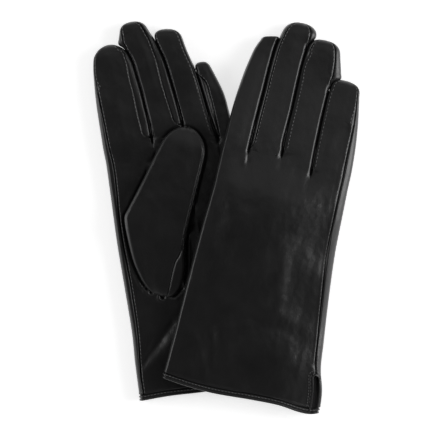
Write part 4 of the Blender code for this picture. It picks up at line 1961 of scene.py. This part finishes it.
def left_cut() -> GloveCut:
    """The left glove, palm up.

    Returns:
        The pattern.
    """
    partings = (
        (
            (167, -11.4), (180, -11.6), (190, -12.4), (200, -13.1), (210, -14.3), (220, -15.5),
            (224, -16.6),
        ),
        (
            (174, 9.9), (180, 9.6), (190, 8.7), (200, 7.6), (210, 6.4), (220, 4.8), (225, 3.4),
            (233, 1.2),
        ),
        ((160, 31.2), (170, 29.6), (180, 28.1), (190, 26.9), (200, 25.6), (207, 24.6)),
    )
    fingers = (
        FingerCut(
            "index",
            near=(
                (150, -44.9), (170, -44.4), (190, -44.2), (200, -43.9), (210, -43.2), (220, -42.2),
                (227, -40.8), (235, -38.0),
            ),
            far=(*shifted(partings[0], LAP), (228, -17.88), (235, -21.18)),
            near_seam=(
                (150, 5.0), (170, 4.1), (190, 3.4), (200, 2.9), (210, 1.9), (220, 1.0), (232, 0.3),
            ),
            far_seam=(
                (167, 4.6), (180, 5.6), (190, 5.4), (200, 5.0), (210, 4.7), (220, 3.7), (230, 2.0),
            ),
            tip=234.9,
            cap=9.0,
            blunt=2.2,
        ),
        FingerCut(
            "middle",
            near=(
                *shifted(partings[0], -LAP), (228, -18.32), (231, -20.32), (234, -23.12), (238, -22.12),
                (242, -20.92), (247, -19.92),
            ),
            far=(*shifted(partings[1], LAP), (238, -1.08), (243, -3.08), (248, -4.48)),
            near_seam=(
                (167, 2.8), (174, 1.4), (183, 0.5), (222, 0.4), (230, 1.5), (234, 3.6), (238, 2.6),
                (242, 1.6), (247, 0.6),
            ),
            far_seam=(
                (174, 4.5), (180, 4.9), (190, 5.5), (200, 5.8), (210, 5.6), (220, 4.7), (240, 3.0),
            ),
            tip=247.4,
            cap=5.5,
            blunt=2.3,
        ),
        FingerCut(
            "ring",
            near=(*shifted(partings[1], -LAP), (239, 0.68)),
            far=(
                *shifted(partings[2], LAP), (212, 23.72), (217, 22.32), (223, 20.82), (230, 19.52),
                (239, 18.32),
            ),
            near_seam=((170, 0.8), (239, 0.8)),
            far_seam=((160, 1.7), (235, 1.6)),
            tip=239.0,
            cap=6.5,
            blunt=2.3,
            slant=-0.12,
        ),
        FingerCut(
            "little",
            near=(*shifted(partings[2], -LAP), (214, 24.08)),
            far=(
                (158, 43.4), (170, 42.4), (180, 41.5), (186, 41.0), (192, 40.0), (199, 38.0),
                (206, 35.7), (213, 33.4),
            ),
            near_seam=(
                (161, 1.6), (170, 2.8), (180, 3.7), (190, 4.0), (200, 3.8), (206, 0.6), (212, -0.6),
            ),
            far_seam=((162, 2.0), (210, 2.0)),
            tip=213.7,
            cap=5.5,
            blunt=3.0,
        ),
    )
    thumb = ThumbCut(
        base=(-18.0, 105.0),
        turn=23.5,
        near=(
            (-38.2, 12.4), (-37.9, 9.6), (-36.6, 4.6), (-34.4, 0.6), (-29.3, -4.7), (-21.1, -11.0),
            (-12.4, -15.9), (1.1, -22.3), (7.5, -24.3), (12.0, -23.4), (20.0, -21.6), (34.6, -18.2),
            (50.0, -15.0), (62.0, -12.2), (74.0, -10.0),
        ),
        far=(
            (-38.2, 12.8), (-37.6, 15.8), (-35.8, 19.0), (-33.0, 21.2), (-28.1, 22.9), (-17.3, 22.6),
            (-7.6, 20.2), (2.2, 18.0), (12.0, 17.8), (42.0, 17.4), (56.0, 17.2), (64.0, 16.2),
            (74.0, 14.5),
        ),
        seam=(
            (-38.2, 0.4), (-36.0, 3.4), (-31.5, 6.4), (-25.0, 7.8), (-15.0, 7.0), (-8.0, 3.4),
            (-1.0, 1.1), (12.0, 0.8), (74.0, 0.8),
        ),
        height=((-38.2, 0.6), (-36.0, 2.6), (-30.0, 4.6), (-15.0, 6.6), (2.0, 8.2), (74.0, 8.2)),
        rise=((-38.2, 8.6), (-30.0, 8.1), (-15.0, 8.5), (4.0, 9.9), (74.0, 10.0)),
        start=-38.2,
        fold=1.8,
        tip=74.1,
        cap=15.0,
    )
    return GloveCut(
        name="left",
        origin=(-9.24, -112.86),
        tilt=-9.5,
        upper="palm",
        lower="back",
        outline=(
            (0.0, -47.8, 48.6), (24.0, -47.0, 49.4), (45.0, -45.7, 47.4), (75.0, -45.6, 44.6),
            (105.0, -45.6, 43.4), (135.0, -44.7, 43.4), (162.0, -43.9, 43.4),
        ),
        crotches=((-11.5, 169.6), (9.9, 174.5), (31.2, 163.0)),
        front_ends=(163.0, 158.0),
        fingers=fingers,
        thumb=thumb,
        near_edge=Edge.SEAM_ON_TOP,
        far_edge=Edge.WRAPS_ROUND,
        outer_seam=(
            (0.0, 3.2), (17.0, 3.3), (34.0, 3.9), (75.0, 4.6), (119.0, 4.1), (150.0, 5.0), (170.0, 4.1),
            (190.0, 3.4), (210.0, 1.9), (220.0, 1.0), (234.0, 0.6),
        ),
        outer_wall=((0.0, 2.3), (217.0, 2.3)),
        cuff_wave=((-48.0, 0.2), (-28.0, 0.4), (-5.0, -0.7), (20.0, -0.5), (48.0, 0.0)),
        creases=(
            Crease((-12.0, 165.0), (-9.6, 157.0), 1.6, -0.5),
            Crease((-10.4, 164.0), (-8.8, 157.0), 1.4, 0.5),
            Crease((31.0, 159.0), (32.5, 150.0), 1.8, -0.6),
            Crease((-10.0, 54.0), (-44.0, 22.0), 2.8, -1.2),
            Crease((-8.0, 47.0), (-44.0, 14.0), 4.2, 0.9),
            Crease((4.0, 124.0), (5.0, 78.0), 1.8, -0.8),
            Crease((7.5, 128.0), (8.5, 84.0), 2.4, 0.9),
            Crease((-30.0, 222.0), (-30.0, 172.0), 2.6, 0.35),
            Crease((-8.0, 232.0), (-3.0, 196.0), 2.2, 0.3),
        ),
        unrest=0.35,
    )


def right_cut() -> GloveCut:
    """The right glove, back up.

    Returns:
        The pattern.
    """
    partings = (
        (
            (158, -28.5), (170, -28.3), (180, -28.2), (190, -27.9), (200, -27.6), (210, -27.5),
            (220, -27.2), (230, -26.5),
        ),
        (
            (161, -6.8), (170, -7.4), (180, -7.2), (190, -6.9), (200, -6.9), (210, -7.0), (220, -6.9),
            (230, -6.4),
        ),
        ((152, 14.7), (160, 14.2), (170, 13.9), (180, 13.8), (190, 13.7), (200, 13.8), (205, 13.9)),
    )
    fingers = (
        FingerCut(
            "index",
            near=(
                (157, -45.7), (180, -45.3), (190, -44.8), (200, -43.9), (210, -42.7), (220, -40.9),
                (225, -39.8), (230, -38.0), (236, -36.4),
            ),
            far=(*shifted(partings[0], LAP), (236, -24.9)),
            near_seam=((157, 2.0), (230, 2.0)),
            far_seam=((157, -0.6), (230, -0.6)),
            tip=235.2,
            cap=4.0,
            blunt=5.0,
            slant=0.24,
        ),
        FingerCut(
            "middle",
            near=(*shifted(partings[0], -LAP), (238, -24.92), (243, -23.92), (248, -23.32)),
            far=(*shifted(partings[1], LAP), (235, -5.48), (239, -2.68), (243, -1.48), (248, -1.08)),
            near_seam=((160, 2.3), (225, 2.3), (243, 2.4)),
            far_seam=((160, -0.6), (231, -0.6), (236, 1.2), (240, 3.6), (247, 4.2)),
            tip=248.7,
            cap=9.0,
            blunt=2.3,
            far_wall=((230, 2.3), (238, 4.2), (248, 4.4)),
        ),
        FingerCut(
            "ring",
            near=(*shifted(partings[1], -LAP), (235, -5.72), (241, -5.32)),
            far=(
                *shifted(partings[2], LAP), (210, 14.42), (214, 16.12), (218, 20.22), (222, 19.42),
                (229, 17.52), (235, 15.92), (241, 15.12),
            ),
            near_seam=((155, 1.7), (220, 1.7), (236, 2.4)),
            far_seam=(
                (155, -0.6), (206, -0.6), (211, 0.6), (214, 2.2), (218, 5.8), (222, 5.1), (229, 3.9),
                (238, 3.2),
            ),
            tip=240.9,
            cap=7.5,
            blunt=2.4,
            far_wall=((204, 2.3), (212, 4.0), (218, 6.0), (229, 4.6), (240, 3.4)),
        ),
        FingerCut(
            "little",
            near=(*shifted(partings[2], -LAP), (210, 14.48), (217, 15.28)),
            far=(
                (150, 40.6), (163, 40.3), (176, 39.5), (188, 38.2), (196, 37.0), (203, 35.8),
                (210, 34.6), (217, 33.8),
            ),
            near_seam=((152, 1.4), (212, 1.4)),
            far_seam=((152, 4.8), (212, 4.0)),
            tip=217.8,
            cap=6.0,
            blunt=2.3,
            slant=-0.06,
        ),
    )
    thumb = ThumbCut(
        base=(-18.0, 100.0),
        turn=40.0,
        near=((2.0, -19.5), (14.0, -20.0), (30.0, -17.8), (46.0, -15.4), (58.0, -12.8), (72.0, -10.5)),
        far=((2.0, 16.6), (14.0, 17.0), (30.0, 17.2), (46.0, 16.8), (72.0, 15.2)),
        seam=((0.0, 1.0), (72.0, 0.8)),
        height=((-22.0, 2.0), (-8.0, 5.0), (4.0, 8.2), (72.0, 8.2)),
        rise=((-22.0, 5.0), (0.0, 0.8), (6.0, 0.0), (72.0, 0.0)),
        start=-12.0,
        fold=1.8,
        tip=71.4,
        cap=13.0,
    )
    return GloveCut(
        name="right",
        origin=(7.26, -116.82),
        tilt=13.0,
        upper="back",
        lower="palm",
        outline=(
            (0.0, -50.0, 55.2), (5.0, -49.9, 55.4), (10.0, -49.7, 55.0), (15.0, -49.5, 54.2),
            (20.0, -49.4, 52.9), (27.0, -49.1, 50.6), (34.0, -48.9, 49.3), (45.0, -48.7, 48.2),
            (75.0, -48.2, 44.8), (105.0, -47.2, 42.0), (130.0, -46.0, 41.0), (157.0, -45.8, 40.2),
        ),
        crotches=((-28.4, 160.0), (-6.8, 162.2), (14.4, 154.2)),
        front_ends=(157.0, 151.0),
        fingers=fingers,
        thumb=thumb,
        near_edge=Edge.WRAPS_ROUND,
        far_edge=Edge.SEAM_ON_TOP,
        outer_seam=(
            (0.0, 4.1), (10.0, 4.3), (20.0, 4.1), (27.0, 3.7), (34.0, 4.3), (66.0, 4.8), (100.0, 5.6),
            (129.0, 5.6), (150.0, 5.2), (170.0, 5.0), (190.0, 3.3), (200.0, 2.2), (210.0, 1.6),
            (217.0, 1.4),
        ),
        outer_wall=(
            (0.0, 4.6), (30.0, 4.4), (60.0, 3.6), (100.0, 4.0), (130.0, 5.6), (170.0, 5.2),
            (190.0, 3.5), (217.0, 2.0),
        ),
        cuff_wave=(
            (-50.0, 1.2), (-33.0, -0.4), (-15.0, -1.0), (10.0, 0.3), (28.0, 0.6), (42.0, -1.0),
            (49.0, -0.9), (55.0, 0.6),
        ),
        creases=(
            Crease((-30.0, 157.0), (-30.6, 149.0), 1.4, 0.45),
            Crease((-28.2, 157.0), (-26.6, 147.0), 1.3, -0.5),
            Crease((-26.4, 157.0), (-24.8, 148.0), 1.4, 0.4),
            Crease((-6.4, 161.0), (-5.6, 150.0), 2.2, -0.35),
            Crease((14.4, 153.0), (13.6, 142.0), 2.4, -0.35),
            Crease((8.0, 104.0), (13.0, 62.0), 5.0, 0.7),
            Crease((-36.0, 146.0), (-30.0, 122.0), 5.0, 0.5),
            Crease((-28.0, 48.0), (-20.0, 12.0), 3.6, -0.6),
            Crease((-36.0, 34.0), (-22.0, 8.0), 3.0, 0.5),
            Crease((-26.0, 46.0), (-12.0, 26.0), 4.0, 0.5),
            Crease((-20.0, 66.0), (30.0, 54.0), 5.0, 0.5),
            Crease((-24.0, 56.0), (26.0, 48.0), 5.0, -0.5),
        ),
        unrest=0.35,
    )


# ---------------------------------------------------------------------------- the studio


@dataclass(frozen=True)
class Studio:
    """A pale table under low soft boxes at both sides, with a straight-down camera."""

    centre: tuple[float, float] = (-0.00411, -0.00173)
    view_width: float = 0.2904
    view_height: float = 0.004
    lens: float = 150.0
    sensor: float = 36.0

    def make_table(self) -> None:
        """The pale table."""
        n = Nodes("pale_table")
        tone = n.tint(n.noise(6.0, 3.0), (0.90, 0.90, 0.90), (0.92, 0.92, 0.92))
        material = n.finish(
            Base_Color=tone,
            Roughness=0.9,
            Specular_IOR_Level=0.1,
            Emission_Color=(1.0, 1.0, 1.0, 1.0),
            Emission_Strength=0.65,
        )
        half = 1.6
        verts = np.array([(-half, -half, 0), (half, -half, 0), (half, half, 0), (-half, half, 0)])
        table = mesh_object("table", verts, np.array([(0, 1, 2, 3)]))
        table.location.z = -0.0002
        table.data.materials.append(material)

    def make_light(
        self, name: str, place: tuple[float, float, float], size: tuple[float, float], power: float
    ) -> None:
        """A soft box that faces the middle of the table.

        Args:
            name: the lamp's name.
            place: where it stands, in metres.
            size: its width and height.
            power: its watts.
        """
        data = bpy.data.lights.new(name, "AREA")
        data.shape = "RECTANGLE"
        data.size, data.size_y = size
        data.energy = power
        light = bpy.data.objects.new(name, data)
        light.location = place
        light.rotation_euler = (-Vector(place)).to_track_quat("-Z", "Y").to_euler()
        bpy.context.scene.collection.objects.link(light)

    def make_world(self) -> None:
        """A room that is brighter low down than overhead."""
        world = bpy.data.worlds.new("room")
        world.use_nodes = True
        tree = world.node_tree
        background = tree.nodes["Background"]
        background.inputs["Strength"].default_value = 1.0
        place = tree.nodes.new("ShaderNodeTexCoord")
        split = tree.nodes.new("ShaderNodeSeparateXYZ")
        ramp = tree.nodes.new("ShaderNodeValToRGB")
        tree.links.new(place.outputs["Generated"], split.inputs["Vector"])
        tree.links.new(split.outputs["Z"], ramp.inputs["Fac"])
        tree.links.new(ramp.outputs["Color"], background.inputs["Color"])
        stops = ((0.0, 0.60), (0.30, 0.42), (0.75, 0.14), (1.0, 0.07))
        elements = ramp.color_ramp.elements
        elements[0].position, elements[0].color = stops[0][0], (*[stops[0][1]] * 3, 1.0)
        elements[1].position, elements[1].color = stops[-1][0], (*[stops[-1][1]] * 3, 1.0)
        for where, tone in stops[1:-1]:
            made = elements.new(where)
            made.color = (tone, tone, tone, 1.0)
        bpy.context.scene.world = world

    def make_camera(self) -> None:
        """The camera, straight above the pair."""
        data = bpy.data.cameras.new("camera")
        data.lens = self.lens
        data.sensor_width = self.sensor
        camera = bpy.data.objects.new("camera", data)
        distance = self.view_width * self.lens / self.sensor
        camera.location = (*self.centre, self.view_height + distance)
        bpy.context.scene.collection.objects.link(camera)
        bpy.context.scene.camera = camera

    def make(self) -> None:
        """Sets up the table, the lights, the room and the camera."""
        self.make_table()
        self.make_light("right_soft_box", (1.15, 0.10, 0.38), (0.7, 1.2), 12.0)
        self.make_light("left_soft_box", (-1.15, 0.05, 0.38), (0.7, 1.2), 5.0)
        self.make_light("far_soft_box", (0.10, 0.62, 1.1), (1.2, 0.8), 0.75)
        self.make_world()
        self.make_camera()
        bpy.context.scene.view_settings.view_transform = "Standard"


def main() -> None:
    """Builds the pair and the studio."""
    logging.basicConfig(level=logging.INFO, format="%(name)s %(message)s")
    finishes = Finishes.mixed()
    gloves = (
        Glove(GloveForm(left_cut(), Lie(), Lie()), finishes),
        Glove(GloveForm(right_cut(), DrapedLie(), UnderThumbLie()), finishes),
    )
    for glove in gloves:
        glove.make()
    Studio().make()


if __name__ == "__main__":
    main()
